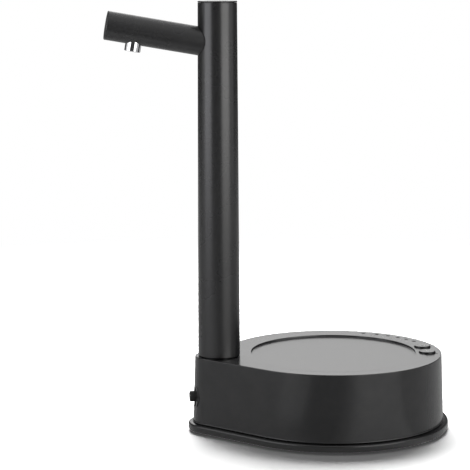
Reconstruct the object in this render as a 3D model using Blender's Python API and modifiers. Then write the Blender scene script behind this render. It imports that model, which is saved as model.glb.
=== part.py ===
"""Desktop bottled-water pump: a teardrop base with a cup recess, a round post and a swivelling spout.

Metres, +Z up. The floor is z = 0 and the spout points along -X at rest. The origin is the middle
of the whole pump's footprint, on the floor.
"""

import math

import bmesh
import bpy
from mathutils import Matrix

# Fits
seat_gap = 0.0003
turn_gap = 0.0004
cut_overrun = 0.002
weld_distance = 0.00002

# Base outline: a round end and a small tail end joined by straight flanks
deck_radius = 0.0625
tail_radius = 0.0138
post_offset = 0.0665
deck_height = 0.0428
deck_thickness = 0.0022
deck_edge = 0.0006
wall_thickness = 0.0020
wall_draft = 0.0012
wall_lip = 0.0004
wall_lip_height = 0.0007

# Base plate
flange_width = 0.0041
flange_face = 0.0030
flange_edge = 0.0007
flange_seam = 0.0044
floor_thickness = 0.0020
rim_wall = 0.0014
rim_height = 0.0035
foot_radius = 0.0050
foot_height = 0.0015
foot_recess = 0.0006
foot_edge = 0.0004
foot_along_share = 0.608
foot_across_share = 0.528

# Case screws, their pillars on the base plate and their bosses under the deck
screw_shank = 0.00135
screw_head = 0.0026
screw_head_height = 0.0017
screw_socket = 0.0010
screw_socket_depth = 0.0009
case_screw_length = 0.0135
case_pillar_height = 0.0060
case_boss = 0.0034
case_counterbore_depth = 0.0040
case_screw_inset = 0.0095
case_screw_ahead = 0.0145
case_screw_half_width = 0.0170

# Cup recess in the deck
recess_inset = 0.0150
recess_depth = 0.0017
recess_floor = 0.0015
recess_wall = 0.0009

# Swivel under the post
socket_wall = 0.0018
socket_bore = 0.0106
bush_flange = 0.0112
bush_flange_height = 0.0009
bush_length = 0.0066
neck_radius = 0.0085
neck_bore = 0.0064
clip_height = 0.0009
clip_groove = 0.0010
clip_radius = 0.0100
clip_mouth = 0.0060
neck_end = 0.0012
fitting_length = 0.0085
fitting_flange = 0.0080
fitting_flange_height = 0.0010
fitting_socket_depth = 0.0060
spigot_radius = 0.0042
spigot_length = 0.0050
ring_section = 0.00075
ring_groove = 0.0028
ring_groove_height = 0.0021
elbow_flange_height = 0.0016
elbow_wall = 0.0016
elbow_chamber = 0.0025
elbow_floor = 0.0010

# Post
post_foot_radius = 0.0118
post_top_radius = 0.01085
post_height = 0.2447
post_wall = 0.0016
post_cap_height = 0.0008
post_cap_edge = 0.0002
post_plug_depth = 0.0045
post_plug_wall = 0.0012
neck_taper = 0.0020

# Spout
spout_drop = 0.0241
spout_radius = 0.0078
spout_wall = 0.0015
spout_length = 0.0640
spout_tilt_deg = 10.0
spigot_out = 0.0066
spigot_in = 0.0054
spigot_reach = 0.0062
spigot_grip = 0.0170
end_cap_depth = 0.0040
end_cap_face = 0.0012

# Nozzle
nozzle_set_back = 0.0174
nozzle_radius = 0.00455
nozzle_bore = 0.0031
nozzle_inlet = 0.0017
nozzle_proud = 0.0042
nozzle_edge = 0.0003
nozzle_root = 0.0018
nozzle_step = 0.0012
nozzle_elbow_length = 0.0220
nozzle_elbow_socket = 0.0048
insert_depth = 0.0010
insert_length = 0.0040
insert_hole = 0.00060
insert_reach = 0.0017

# Water ways
water_radius = 0.0030
water_bore = 0.0020
water_bend = 0.0090
riser_bore = 0.0018
outlet_hose_radius = 0.0029
outlet_hose_bore = 0.0020
outlet_barb_bore = 0.0010
inlet_hose_radius = 0.0033
inlet_hose_bore = 0.0024
inlet_barb_bore = 0.0013
barb_length = 0.0060
barb_ridge = 0.00015
hose_lead = 0.0074
hose_pull_share = 0.36

# Inlet stub in the tail's end wall
inlet_height = 0.0190
inlet_recess_radius = 0.0059
inlet_recess_depth = 0.0007
inlet_pad = 0.0024
inlet_pad_radius = 0.0075
inlet_stub_radius = 0.0031
inlet_stub_neck = 0.0026
inlet_stub_edge = 0.0006
inlet_stub_band = 0.0016
inlet_stub_reach = 0.0034
inlet_flange_radius = 0.0056
inlet_flange_height = 0.0015
inlet_seal_height = 0.0008

# Buttons and their switches
button_inset = 0.0083
button_radius = 0.0047
button_gap = 0.0003
button_proud = 0.0014
button_edge = 0.0004
button_flange = 0.0006
button_flange_height = 0.0008
button_stem = 0.0018
button_stem_length = 0.0019
button_travel = 0.0005
switch_side = 0.0060
switch_height = 0.0035
plunger_radius = 0.00175
plunger_proud = 0.0009
plunger_root = 0.0014

# Light guide and lens
light_inset = 0.0053
light_radius = 0.0009
guide_width = 0.0028
guide_height = 0.0024
lens_inset = 0.0030
lens_radius = 0.00045
lens_foot = 0.0010
lens_foot_height = 0.0012

# Control board
board_margin = 0.0027
board_width = 0.0153
board_thickness = 0.0016
board_screw_inset = 0.0115
board_boss = 0.0026
board_screw_length = 0.0075
board_screw_head = 0.0023
board_pilot = 0.0012
led_length = 0.0016
led_width = 0.0012
led_height = 0.0007
chip_inset = 0.0145
chip_length = 0.0060
chip_width = 0.0040
chip_height = 0.0012
plug_inset = 0.0150
plug_length = 0.0060
plug_width = 0.0040
plug_height = 0.0040

# Battery
cell_radius = 0.0092
cell_length = 0.0650
cell_button_radius = 0.0028
cell_button_height = 0.0007
cell_edge = 0.0006
cell_centre_along = 0.0020
cell_centre_across = 0.0222
holder_wall = 0.0012
holder_height = 0.0125
holder_finger_gap = 0.0200

# Charging socket
usb_height = 0.0150
usb_shift = 0.0080
usb_width = 0.00894
usb_thickness = 0.00326
usb_depth = 0.0073
usb_sheet = 0.0003
usb_back = 0.0011
usb_tongue_width = 0.0067
usb_tongue_thickness = 0.0007
usb_tongue_length = 0.0045
usb_corner = 0.0014
usb_set_back = 0.0006
usb_board_width = 0.0140
usb_board_depth = 0.0130
usb_board_thickness = 0.0010
usb_post_radius = 0.0020
usb_post_spread = 0.0045

# Diaphragm pump and its motor, along the pump's own axis from the head's face
pump_along = -0.0240
pump_across = -0.0115
pump_height = 0.0180
pump_radius = 0.0132
head_length = 0.0090
head_cavity = 0.0094
head_cavity_depth = 0.0040
head_edge = 0.0008
port_spread = 0.0050
port_length = 0.0070
plate_height = 0.0020
valve_hole = 0.0012
valve_reach = 0.0057
skin_height = 0.0014
cup_radius = 0.0031
cup_reach = 0.0057
cup_length = 0.0030
stem_radius = 0.0012
stem_length = 0.0012
frame_length = 0.0140
frame_bore = 0.0098
frame_back = 0.0018
frame_hole = 0.0034
pump_screw_inset = 0.0019
pump_screw_shank = 0.0009
pump_screw_head = 0.0017
pump_screw_lug = 0.0026
pump_screw_length = 0.0220
pump_screw_head_height = 0.0014
motor_radius = 0.0121
motor_length = 0.0300
motor_wall = 0.0008
motor_front = 0.0012
motor_edge = 0.0010
motor_boss = 0.0030
motor_boss_height = 0.0018
bearing_wall = 0.0009
bearing_height = 0.0032
shaft_radius = 0.0010
magnet_thickness = 0.0024
magnet_length = 0.0170
armature_radius = 0.0078
armature_length = 0.0140
armature_slot = 0.0016
armature_slot_depth = 0.0045
commutator_radius = 0.0026
commutator_length = 0.0048
motor_cap_height = 0.0022
terminal_width = 0.0022
terminal_thickness = 0.0006
terminal_length = 0.0035
terminal_spread = 0.0070
shaft_end_gap = 0.0008

# Wobble drive
hub_radius = 0.0042
hub_height = 0.0036
pin_radius = 0.0008
pin_length = 0.0036
wobble_radius = 0.0092
wobble_thickness = 0.0015
wobble_hub = 0.0024
wobble_hub_length = 0.0042
wobble_notch = 0.0040
wobble_pivot = 0.0190
wobble_tilt_deg = 6.0

# Motor mounting
sleeve_wall = 0.0012
sleeve_length = 0.0120
sleeve_start = 0.0350
clamp_wall = 0.0012
clamp_length = 0.0100
clamp_leg = 0.0060
clamp_ear = 0.0070
clamp_screw_length = 0.0080
cradle_height = 0.0040
cradle_width = 0.0220
clamp_pillar = 0.0028

# Counts and angles
round_steps = 40
tail_steps = 8
fine_steps = 26
plain_steps = 16
small_steps = 10
saddle_steps = 64
ring_steps = 8
bend_steps = 8
route_steps = 12
corner_turn = 1.3
button_angles_deg = {"power_button": 5.5, "volume_button": -11.2}
light_angles_deg = (22.7, 30.0, 37.0, 44.4, 52.1, 60.9)
lens_angle_deg = -13.9
guide_margin_deg = 2.2
board_start_deg = -22.0
board_end_deg = 69.0
board_screw_angles_deg = (-19.5, 66.5)
case_front_angles_deg = (80.0, -62.0)
chip_angle_deg = 30.0
plug_angle_deg = 8.0

# Places worked out from the sizes above
tilt = math.radians(spout_tilt_deg)
spout_reach = post_offset + spout_length * math.cos(tilt) + spout_radius * math.sin(tilt)
round_x = (spout_reach - deck_radius - flange_width) / 2
post_x = round_x - post_offset
flank_turn = math.acos((deck_radius - tail_radius) / post_offset)
flank_angle = math.pi - flank_turn
recess_radius = deck_radius - recess_inset
button_reach = deck_radius - button_inset
light_reach = deck_radius - light_inset
lens_reach = deck_radius - lens_inset
case_screw_reach = deck_radius - case_screw_inset
board_outer = deck_radius - board_margin
board_inner = board_outer - board_width
board_screw_reach = deck_radius - board_screw_inset
chip_reach = deck_radius - chip_inset
plug_reach = deck_radius - plug_inset
pump_screw_reach = pump_radius - pump_screw_inset
nozzle_along = spout_length - nozzle_set_back
plate_z = foot_height
floor_z = plate_z + floor_thickness
seam_z = plate_z + flange_seam
wall_z = seam_z + seat_gap
deck_z = plate_z + deck_height
under_deck_z = deck_z - deck_thickness
rim_outer = -wall_thickness - seat_gap
bush_end_z = deck_z - bush_length
groove_end_z = bush_end_z - clip_height - 2 * seat_gap
neck_end_z = groove_end_z - neck_end
fitting_flange_z = neck_end_z - seat_gap - fitting_flange_height
spigot_end_z = fitting_flange_z - spigot_length
elbow_top_z = fitting_flange_z - turn_gap
socket_end_z = elbow_top_z - elbow_flange_height
elbow_end_z = spigot_end_z - elbow_chamber - elbow_floor
elbow_bore = ring_groove + seat_gap + 2 * ring_section + seat_gap
elbow_radius = elbow_bore + elbow_wall
outlet_barb = outlet_hose_bore - seat_gap
outlet_z = spigot_end_z - elbow_chamber / 2
inlet_barb = inlet_hose_bore - seat_gap
inlet_z = plate_z + inlet_height
tail_end_x = post_x - tail_radius
inlet_pad_x = tail_end_x + inlet_recess_depth + inlet_pad
pump_x = round_x + pump_along
pump_z = plate_z + pump_height
flange_z = under_deck_z - seat_gap
stem_z = flange_z - button_flange_height - button_stem_length
switch_z = stem_z - seat_gap - plunger_proud
board_z = switch_z - switch_height - seat_gap
post_top_z = plate_z + post_height
spout_z = post_top_z - spout_drop


# Scene set-up

for old in list(bpy.data.objects):
    bpy.data.objects.remove(old, do_unlink=True)

parts = bpy.data.collections.new("bottled_water_pump")
cutters = bpy.data.collections.new("cutters")
for group in (parts, cutters):
    bpy.context.scene.collection.children.link(group)


def material(name, colour, roughness, metallic=0.0):
    """A Principled material with one colour, roughness and metallic value."""
    made = bpy.data.materials.new(name)
    made.use_nodes = True
    shader = made.node_tree.nodes["Principled BSDF"]
    shader.inputs["Base Color"].default_value = (*colour, 1.0)
    shader.inputs["Roughness"].default_value = roughness
    shader.inputs["Metallic"].default_value = metallic
    return made


black_abs = material("satin_black_abs", (0.020, 0.020, 0.021), 0.42)
black_acetal = material("black_acetal", (0.030, 0.030, 0.032), 0.50)
white_acetal = material("white_acetal", (0.72, 0.72, 0.69), 0.45)
black_rubber = material("black_rubber", (0.018, 0.018, 0.018), 0.80)
red_rubber = material("red_silicone", (0.45, 0.06, 0.04), 0.60)
clear_silicone = material("clear_silicone", (0.70, 0.72, 0.72), 0.35)
chrome_steel = material("polished_steel", (0.78, 0.79, 0.80), 0.08, 1.0)
plain_steel = material("zinc_plated_steel", (0.55, 0.56, 0.58), 0.32, 1.0)
dark_ferrite = material("dark_ferrite", (0.06, 0.06, 0.065), 0.60)
copper_wire = material("copper_winding", (0.52, 0.23, 0.11), 0.35, 1.0)
bronze = material("sintered_bronze", (0.50, 0.33, 0.16), 0.45, 1.0)
green_board = material("green_board", (0.02, 0.13, 0.06), 0.40)
light_clear = material("light_guide_acrylic", (0.60, 0.62, 0.64), 0.20)
cell_wrap = material("cell_wrap", (0.03, 0.17, 0.42), 0.35)
grey_nylon = material("grey_nylon", (0.16, 0.16, 0.165), 0.50)


def empty(name, location, rotation=(0, 0, 0), parent=None):
    """A frame that pieces are placed on."""
    made = bpy.data.objects.new(name, None)
    made.location = location
    made.rotation_euler = rotation
    made.parent = parent
    parts.objects.link(made)
    return made


def place(name, mesh, finish, parent=None, location=(0, 0, 0), rotation=(0, 0, 0)):
    """A piece of the pump, or a cutting tool when finish is None."""
    made = bpy.data.objects.new(name, mesh)
    made.parent = parent
    made.location = location
    made.rotation_euler = rotation
    if finish is None:
        made.hide_render = True
        made.display_type = "WIRE"
        cutters.objects.link(made)
    else:
        mesh.materials.append(finish)
        parts.objects.link(made)
    return made


def mesh_from(name, build):
    """A mesh filled by a function that shapes a bmesh."""
    shape = bmesh.new()
    build(shape)
    bmesh.ops.recalc_face_normals(shape, faces=shape.faces)
    mesh = bpy.data.meshes.new(name)
    shape.to_mesh(mesh)
    shape.free()
    return mesh


def turned(name, profile, finish, steps=plain_steps, **where):
    """A turned piece: (radius, height) pairs down its outer side, swept round by a Screw modifier."""
    mesh = bpy.data.meshes.new(name)
    edges = [(k, k + 1) for k in range(len(profile) - 1)]
    if profile[0][0] > 0:
        edges.append((len(profile) - 1, 0))
    mesh.from_pydata([(radius, 0, height) for radius, height in profile], edges, [])
    made = place(name, mesh, finish, **where)
    screw = made.modifiers.new("turn", "SCREW")
    screw.steps = screw.render_steps = steps
    screw.use_merge_vertices = True
    screw.merge_threshold = weld_distance
    screw.use_smooth_shade = True
    return made


def rod(name, radius, start, end, finish=None, steps=plain_steps, **where):
    """A plain round bar along the local Z axis between two heights."""

    def build(shape):
        bmesh.ops.create_cone(
            shape, cap_ends=True, segments=steps, radius1=radius, radius2=radius, depth=end - start
        )
        bmesh.ops.rotate(shape, verts=shape.verts, matrix=Matrix.Rotation(corner_turn / steps, 3, "Z"))
        bmesh.ops.translate(shape, verts=shape.verts, vec=(0, 0, (start + end) / 2))

    return place(name, mesh_from(name, build), finish, **where)


def block(name, low, high, finish=None, **where):
    """A box between two corners."""

    def build(shape):
        bmesh.ops.create_cube(shape, size=1)
        bmesh.ops.scale(shape, verts=shape.verts, vec=[h - l for l, h in zip(low, high)])
        bmesh.ops.translate(shape, verts=shape.verts, vec=[(l + h) / 2 for l, h in zip(low, high)])

    return place(name, mesh_from(name, build), finish, **where)


def lofted(name, rings, finish=None, **where):
    """A closed solid through rings of equal count, from its first cap to its last cap."""

    def build(shape):
        rows = [[shape.verts.new(point) for point in ring] for ring in rings]
        count = len(rows[0])
        for lower, upper in zip(rows, rows[1:]):
            for k in range(count):
                after = (k + 1) % count
                shape.faces.new((lower[k], lower[after], upper[after], upper[k]))
        shape.faces.new(rows[0][::-1])
        shape.faces.new(rows[-1])

    return place(name, mesh_from(name, build), finish, **where)


def slot(name, half_width, half_height, corner, start, end, finish=None, **where):
    """A bar along the local X axis whose section is a rectangle with round corners."""
    section = []
    for turn in range(4):
        side_y = 1 if turn in (0, 3) else -1
        side_z = 1 if turn in (0, 1) else -1
        for k in range(4):
            angle = math.pi / 2 * (turn + k / 3)
            y = side_y * (half_width - corner) + corner * math.cos(angle)
            z = side_z * (half_height - corner) + corner * math.sin(angle)
            section.append((y, z))
    return lofted(name, [[(x, y, z) for y, z in section] for x in (start, end)], finish, **where)


def cut(target, tool):
    """Takes the tool's volume out of the target."""
    modifier = target.modifiers.new(tool.name, "BOOLEAN")
    modifier.operation = "DIFFERENCE"
    modifier.object = tool


def join(target, tool):
    """Adds the tool's volume to the target."""
    modifier = target.modifiers.new(tool.name, "BOOLEAN")
    modifier.operation = "UNION"
    modifier.object = tool


def polar(radius, angle_deg, height=0):
    """A place given by its distance and angle round the base's round end."""
    angle = math.radians(angle_deg)
    return (round_x + radius * math.cos(angle), radius * math.sin(angle), height)


def teardrop(offset, height):
    """The base's outline, pushed out by an offset, as one ring of corners."""
    ring = []
    for k in range(round_steps + 1):
        angle = flank_angle * (2 * k / round_steps - 1)
        reach = deck_radius + offset
        ring.append((round_x + reach * math.cos(angle), reach * math.sin(angle), height))
    for k in range(tail_steps + 1):
        angle = flank_angle + 2 * flank_turn * k / tail_steps
        reach = tail_radius + offset
        ring.append((post_x + reach * math.cos(angle), reach * math.sin(angle), height))
    return ring


def sector(name, inner, outer, start_deg, end_deg, low, high, finish=None):
    """A flat piece of a ring round the base's round end."""
    steps = max(2, round((end_deg - start_deg) / (360 / round_steps)))
    angles = [start_deg + (end_deg - start_deg) * k / steps for k in range(steps + 1)]
    ring = [polar(outer, angle) for angle in angles] + [polar(inner, angle) for angle in angles[::-1]]
    return lofted(name, [[(x, y, low) for x, y, _ in ring], [(x, y, high) for x, y, _ in ring]], finish)


def tube(name, points, outer, inner, finish, sides=2):
    """A hose along points: a bevelled curve made a mesh, with its bore cut out."""

    def sweep(label, radius, path, twist=0.0):
        curve = bpy.data.curves.new(label, "CURVE")
        curve.dimensions = "3D"
        curve.bevel_depth = radius
        curve.bevel_resolution = sides
        curve.use_fill_caps = True
        spline = curve.splines.new("POLY")
        spline.points.add(len(path) - 1)
        for point, place_ in zip(spline.points, path):
            point.co = (*place_, 1.0)
            point.tilt = twist
        guide = bpy.data.objects.new(label, curve)
        cutters.objects.link(guide)
        bpy.context.view_layer.update()
        seen = guide.evaluated_get(bpy.context.evaluated_depsgraph_get())
        mesh = bpy.data.meshes.new_from_object(seen)
        shape = bmesh.new()
        shape.from_mesh(mesh)
        bmesh.ops.remove_doubles(shape, verts=shape.verts, dist=weld_distance)
        shape.to_mesh(mesh)
        shape.free()
        bpy.data.objects.remove(guide, do_unlink=True)
        mesh.name = label
        return mesh

    made = place(name, sweep(name, outer, points), finish)
    if inner > 0:
        first, second, last, before = points[0], points[1], points[-1], points[-2]
        longer = [past(second, first)] + list(points[1:-1]) + [past(before, last)]
        bore = sweep(name + "_bore", inner, longer, corner_turn / (2 * sides + 4))
        cut(made, place(name + "_bore", bore, None))
    return made


def past(start, end):
    """The point one overrun beyond end on the line from start."""
    length = math.dist(start, end)
    return tuple(e + (e - s) * cut_overrun / length for s, e in zip(start, end))


def smooth_route(start, start_way, end, end_way, pull, steps):
    """Points on one smooth curve that leaves and meets its ends straight."""
    lead_in = [s + w * hose_lead for s, w in zip(start, start_way)]
    lead_out = [e + w * hose_lead for e, w in zip(end, end_way)]
    near = [p + w * pull for p, w in zip(lead_in, start_way)]
    far = [p + w * pull for p, w in zip(lead_out, end_way)]
    points = [tuple(start)]
    for k in range(steps + 1):
        t = k / steps
        weights = ((1 - t) ** 3, 3 * t * (1 - t) ** 2, 3 * t * t * (1 - t), t**3)
        rows = zip(lead_in, near, far, lead_out)
        points.append(tuple(sum(w * v for w, v in zip(weights, row)) for row in rows))
    points.append(tuple(end))
    return points


# Frames that the pieces are placed on

post_axis = empty("post_axis", (post_x, 0, 0))
spout_axis = empty("spout_axis", (0, 0, spout_z), (0, tilt - math.pi / 2, 0), post_axis)
pump_axis = empty("pump_axis", (pump_x, pump_across, pump_z), (0, math.pi / 2, 0))
wobble_axis = empty("wobble_axis", (0, 0, wobble_pivot), (0, math.radians(wobble_tilt_deg), 0), pump_axis)
inlet_axis = empty("inlet_axis", (inlet_pad_x, 0, inlet_z), (0, -math.pi / 2, 0))
flank_place = (
    round_x + deck_radius * math.cos(flank_angle) - usb_shift * math.sin(flank_angle),
    deck_radius * math.sin(flank_angle) + usb_shift * math.cos(flank_angle),
    plate_z + usb_height,
)
usb_frame = empty("usb_frame", flank_place, (0, 0, flank_angle))

case_screw_places = [polar(case_screw_reach, angle) for angle in case_front_angles_deg] + [
    (post_x + case_screw_ahead, side * case_screw_half_width, 0) for side in (1, -1)
]
foot_along = deck_radius * foot_along_share
foot_across = deck_radius * foot_across_share
foot_places = [
    (round_x + along * foot_along, across * foot_across, 0) for along in (1, -1) for across in (1, -1)
]
clamp_across = motor_radius + seat_gap + sleeve_wall + seat_gap + clamp_wall + clamp_ear / 2
clamp_x = pump_x + sleeve_start + sleeve_length / 2
clamp_ear_z = pump_z - clamp_leg
clamp_places = [(clamp_x, pump_across + side * clamp_across, 0) for side in (1, -1)]
usb_board_z = -usb_thickness / 2 - seat_gap - usb_board_thickness
usb_inner = wall_thickness + seat_gap


# Base

def make_screw(name, shank, length, head, head_height, location, parent=None, turn=(0, 0, 0)):
    """A pan-head screw whose shank runs up from z = 0, with a round driver socket in its head."""
    profile = [
        (0, length),
        (shank, length - shank),
        (shank, 0),
        (head, 0),
        (head, -head_height * 3 / 4),
        (head * 3 / 4, -head_height),
        (screw_socket, -head_height),
        (0, screw_socket_depth - head_height),
    ]
    return turned(name, profile, plain_steel, small_steps, parent=parent, location=location, rotation=turn)


def make_base_plate():
    """The floor of the base: flange, locating rim, screw pillars, motor cradle and socket posts."""
    top = floor_z
    plate = lofted(
        "base_plate",
        [
            teardrop(flange_width - flange_edge, plate_z),
            teardrop(flange_width, plate_z + flange_edge),
            teardrop(flange_width, plate_z + flange_face),
            teardrop(flange_width - flange_edge / 3, plate_z + flange_face + flange_edge * 2 / 3),
            teardrop(flange_width - flange_edge, plate_z + flange_face + flange_edge),
            teardrop(wall_draft, seam_z),
            teardrop(rim_outer, seam_z),
            teardrop(rim_outer, seam_z + rim_height),
            teardrop(rim_outer - rim_wall, seam_z + rim_height),
            teardrop(rim_outer - rim_wall, top),
        ],
        black_abs,
    )
    root = floor_z - floor_thickness / 2
    for number, place_ in enumerate(case_screw_places, 1):
        join(plate, rod(f"case_pillar_{number}", case_boss, root, top + case_pillar_height, location=place_))
    for number, place_ in enumerate(clamp_places, 1):
        pillar = rod(f"clamp_pillar_{number}", clamp_pillar, root, clamp_ear_z - seat_gap, location=place_)
        join(plate, pillar)
    cradle_low = (clamp_x - clamp_length / 2, pump_across - cradle_width / 2, root)
    cradle_high = (clamp_x + clamp_length / 2, pump_across + cradle_width / 2, pump_z - cradle_height)
    join(plate, block("cradle", cradle_low, cradle_high))
    sleeve_outer = motor_radius + 2 * seat_gap + sleeve_wall
    start = sleeve_start - cut_overrun
    end = sleeve_start + sleeve_length + cut_overrun
    cut(plate, rod("cradle_seat", sleeve_outer + seat_gap, start, end, steps=fine_steps, parent=pump_axis))
    for number, side in enumerate((1, -1), 1):
        foot = (-usb_inner - usb_board_depth / 2, side * usb_post_spread, 0)
        low = root - usb_frame.location.z
        high = usb_board_z - seat_gap
        join(plate, rod(f"usb_post_{number}", usb_post_radius, low, high, parent=usb_frame, location=foot))
    for number, place_ in enumerate(case_screw_places, 1):
        hole_top = top + case_pillar_height + cut_overrun
        cut(plate, rod(f"case_hole_{number}", screw_shank + seat_gap, 0, hole_top, location=place_))
        head_top = plate_z + case_counterbore_depth
        cut(plate, rod(f"case_head_{number}", screw_head + seat_gap, 0, head_top, location=place_))
    for number, place_ in enumerate(clamp_places, 1):
        depth = clamp_ear_z + clamp_wall - clamp_screw_length - seat_gap
        cut(plate, rod(f"clamp_hole_{number}", screw_shank + seat_gap, depth, pump_z, location=place_))
    for number, place_ in enumerate(foot_places, 1):
        seat_top = plate_z + foot_recess
        cut(plate, rod(f"foot_seat_{number}", foot_radius + seat_gap, 0, seat_top, location=place_))


def make_feet():
    """Four stuck-on rubber feet, each in a shallow seat under the plate."""
    top = plate_z + foot_recess - seat_gap
    profile = [(0, top), (foot_radius, top), (foot_radius, foot_edge), (foot_radius - foot_edge, 0), (0, 0)]
    for number, place_ in enumerate(foot_places, 1):
        turned(f"rubber_foot_{number}", profile, black_rubber, location=place_)


def make_case_screws():
    """Four screws from below that hold the housing to the plate."""
    seat = plate_z + case_counterbore_depth - seat_gap
    for number, (x, y, _) in enumerate(case_screw_places, 1):
        make_screw(
            f"case_screw_{number}",
            screw_shank,
            case_screw_length,
            screw_head,
            screw_head_height,
            (x, y, seat),
        )


def make_housing():
    """The black upper shell: drafted wall, deck with the cup recess, and the bosses under it."""
    height = deck_z - wall_z

    def wall(level, extra=0):
        return teardrop(wall_draft * (deck_z - level) / height + extra, level)

    housing = lofted(
        "upper_housing",
        [
            wall(wall_z, wall_lip / 2),
            wall(wall_z + wall_lip_height / 3, wall_lip),
            wall(wall_z + wall_lip_height * 2 / 3, wall_lip),
            wall(wall_z + wall_lip_height),
            wall(deck_z - deck_edge),
            teardrop(-deck_edge / 3, deck_z - deck_edge / 3),
            teardrop(-deck_edge, deck_z),
        ],
        black_abs,
    )
    low = wall_z - cut_overrun
    cut(housing, lofted("housing_hollow", [wall(low, -wall_thickness), wall(under_deck_z, -wall_thickness)]))
    root = deck_z - deck_thickness / 2
    pan_z = deck_z - recess_depth - recess_floor
    pan = rod("recess_pan", recess_radius + recess_wall, pan_z, root, steps=round_steps)
    pan.location = (round_x, 0, 0)
    join(housing, pan)
    join(housing, rod("socket_boss", socket_bore + socket_wall, socket_end_z, root, parent=post_axis))
    pillar_top = floor_z + case_pillar_height + seat_gap
    for number, place_ in enumerate(case_screw_places, 1):
        join(housing, rod(f"case_boss_{number}", case_boss, pillar_top, root, location=place_))
    for number, angle in enumerate(board_screw_angles_deg, 1):
        boss = rod(f"board_boss_{number}", board_boss, board_z + seat_gap, root)
        boss.location = polar(board_screw_reach, angle)
        join(housing, boss)
    pad_back = inlet_pad + wall_thickness / 2
    join(housing, rod("inlet_boss", inlet_pad_radius, 0, pad_back, parent=inlet_axis))
    cup = rod("recess", recess_radius, deck_z - recess_depth, deck_z + cut_overrun, steps=round_steps)
    cup.location = (round_x, 0, 0)
    cut(housing, cup)
    low = socket_end_z - cut_overrun
    high = deck_z + cut_overrun
    cut(housing, rod("socket_hole", socket_bore, low, high, steps=fine_steps, parent=post_axis))
    low = deck_z - bush_flange_height - seat_gap
    cut(housing, rod("bush_seat", bush_flange + seat_gap, low, high, steps=fine_steps, parent=post_axis))
    case_seat_z = plate_z + case_counterbore_depth - seat_gap
    for number, place_ in enumerate(case_screw_places, 1):
        pilot_top = case_seat_z + case_screw_length + seat_gap
        cut(housing, rod(f"case_pilot_{number}", screw_shank + seat_gap, 0, pilot_top, location=place_))
    for number, angle in enumerate(board_screw_angles_deg, 1):
        pilot_top = board_z - board_thickness + board_screw_length
        pilot = rod(f"board_pilot_{number}", board_pilot + seat_gap, board_z - cut_overrun, pilot_top)
        pilot.location = polar(board_screw_reach, angle)
        cut(housing, pilot)
    low = under_deck_z - cut_overrun
    high = deck_z + cut_overrun
    for name, angle in button_angles_deg.items():
        hole = rod(name + "_hole", button_radius + button_gap, low, high, steps=fine_steps)
        hole.location = polar(button_reach, angle)
        cut(housing, hole)
    for number, angle in enumerate(light_angles_deg, 1):
        window = rod(f"light_hole_{number}", light_radius + seat_gap, low, high, steps=small_steps)
        window.location = polar(light_reach, angle)
        cut(housing, window)
    lens_hole = rod("lens_hole", lens_radius + seat_gap, low, high, steps=small_steps)
    lens_hole.location = polar(lens_reach, lens_angle_deg)
    cut(housing, lens_hole)
    spot = inlet_pad
    reach = spot + tail_radius
    cut(housing, rod("inlet_spot", inlet_recess_radius, spot, reach, steps=fine_steps, parent=inlet_axis))
    hole = inlet_stub_radius + seat_gap
    cut(housing, rod("inlet_hole", hole, -cut_overrun, reach, parent=inlet_axis))
    half_width = usb_width / 2 + seat_gap
    half_height = usb_thickness / 2 + seat_gap
    corner = usb_corner + seat_gap
    low = -wall_thickness - cut_overrun
    cut(housing, slot("usb_mouth", half_width, half_height, corner, low, cut_overrun, parent=usb_frame))


# Controls on the deck

def make_buttons():
    """Two push buttons held under the deck by their flanges, each over its own switch."""
    top = deck_z + button_proud
    flange_low = flange_z - button_flange_height
    profile = [
        (0, top),
        (button_radius - button_edge, top),
        (button_radius, top - button_edge),
        (button_radius, flange_z),
        (button_radius + button_flange, flange_z),
        (button_radius + button_flange, flange_low),
        (button_stem, flange_low),
        (button_stem, stem_z),
        (0, stem_z),
    ]
    for name, angle in button_angles_deg.items():
        turned(name, profile, black_abs, fine_steps, location=polar(button_reach, angle))


def make_switches():
    """A tact switch under each button: a square body and the plunger that the button pushes."""
    side = switch_side / 2
    plunger_low = switch_z - plunger_root
    for number, angle in enumerate(button_angles_deg.values(), 1):
        place_ = polar(button_reach, angle)
        turn = (0, 0, math.radians(angle))
        low = (-side, -side, switch_z - switch_height)
        high = (side, side, switch_z)
        body = block(f"tact_switch_{number}", low, high, black_acetal, location=place_, rotation=turn)
        well_low = plunger_low - button_travel - seat_gap
        well = rod(f"switch_well_{number}", plunger_radius + seat_gap, well_low, switch_z + cut_overrun)
        well.location = place_
        cut(body, well)
        rod(
            f"tact_plunger_{number}",
            plunger_radius,
            plunger_low,
            switch_z + plunger_proud,
            white_acetal,
            small_steps,
            location=place_,
        )


def make_lights():
    """A comb-shaped light guide with one pip for each volume light, and the charge light's lens."""
    top = under_deck_z - seat_gap
    low = top - guide_height
    start = light_angles_deg[0] - guide_margin_deg
    end = light_angles_deg[-1] + guide_margin_deg
    inner = light_reach - guide_width / 2
    guide = sector("led_light_guide", inner, inner + guide_width, start, end, low, top, light_clear)
    for number, angle in enumerate(light_angles_deg, 1):
        pip = rod(f"light_pip_{number}", light_radius, top - guide_height / 2, deck_z, steps=small_steps)
        pip.location = polar(light_reach, angle)
        join(guide, pip)
    foot = board_z + led_height + seat_gap
    profile = [
        (0, deck_z),
        (lens_radius, deck_z),
        (lens_radius, foot + lens_foot_height),
        (lens_foot, foot + lens_foot_height),
        (lens_foot, foot),
        (0, foot),
    ]
    spot = polar(lens_reach, lens_angle_deg)
    turned("charge_light_lens", profile, light_clear, small_steps, location=spot)


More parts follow.
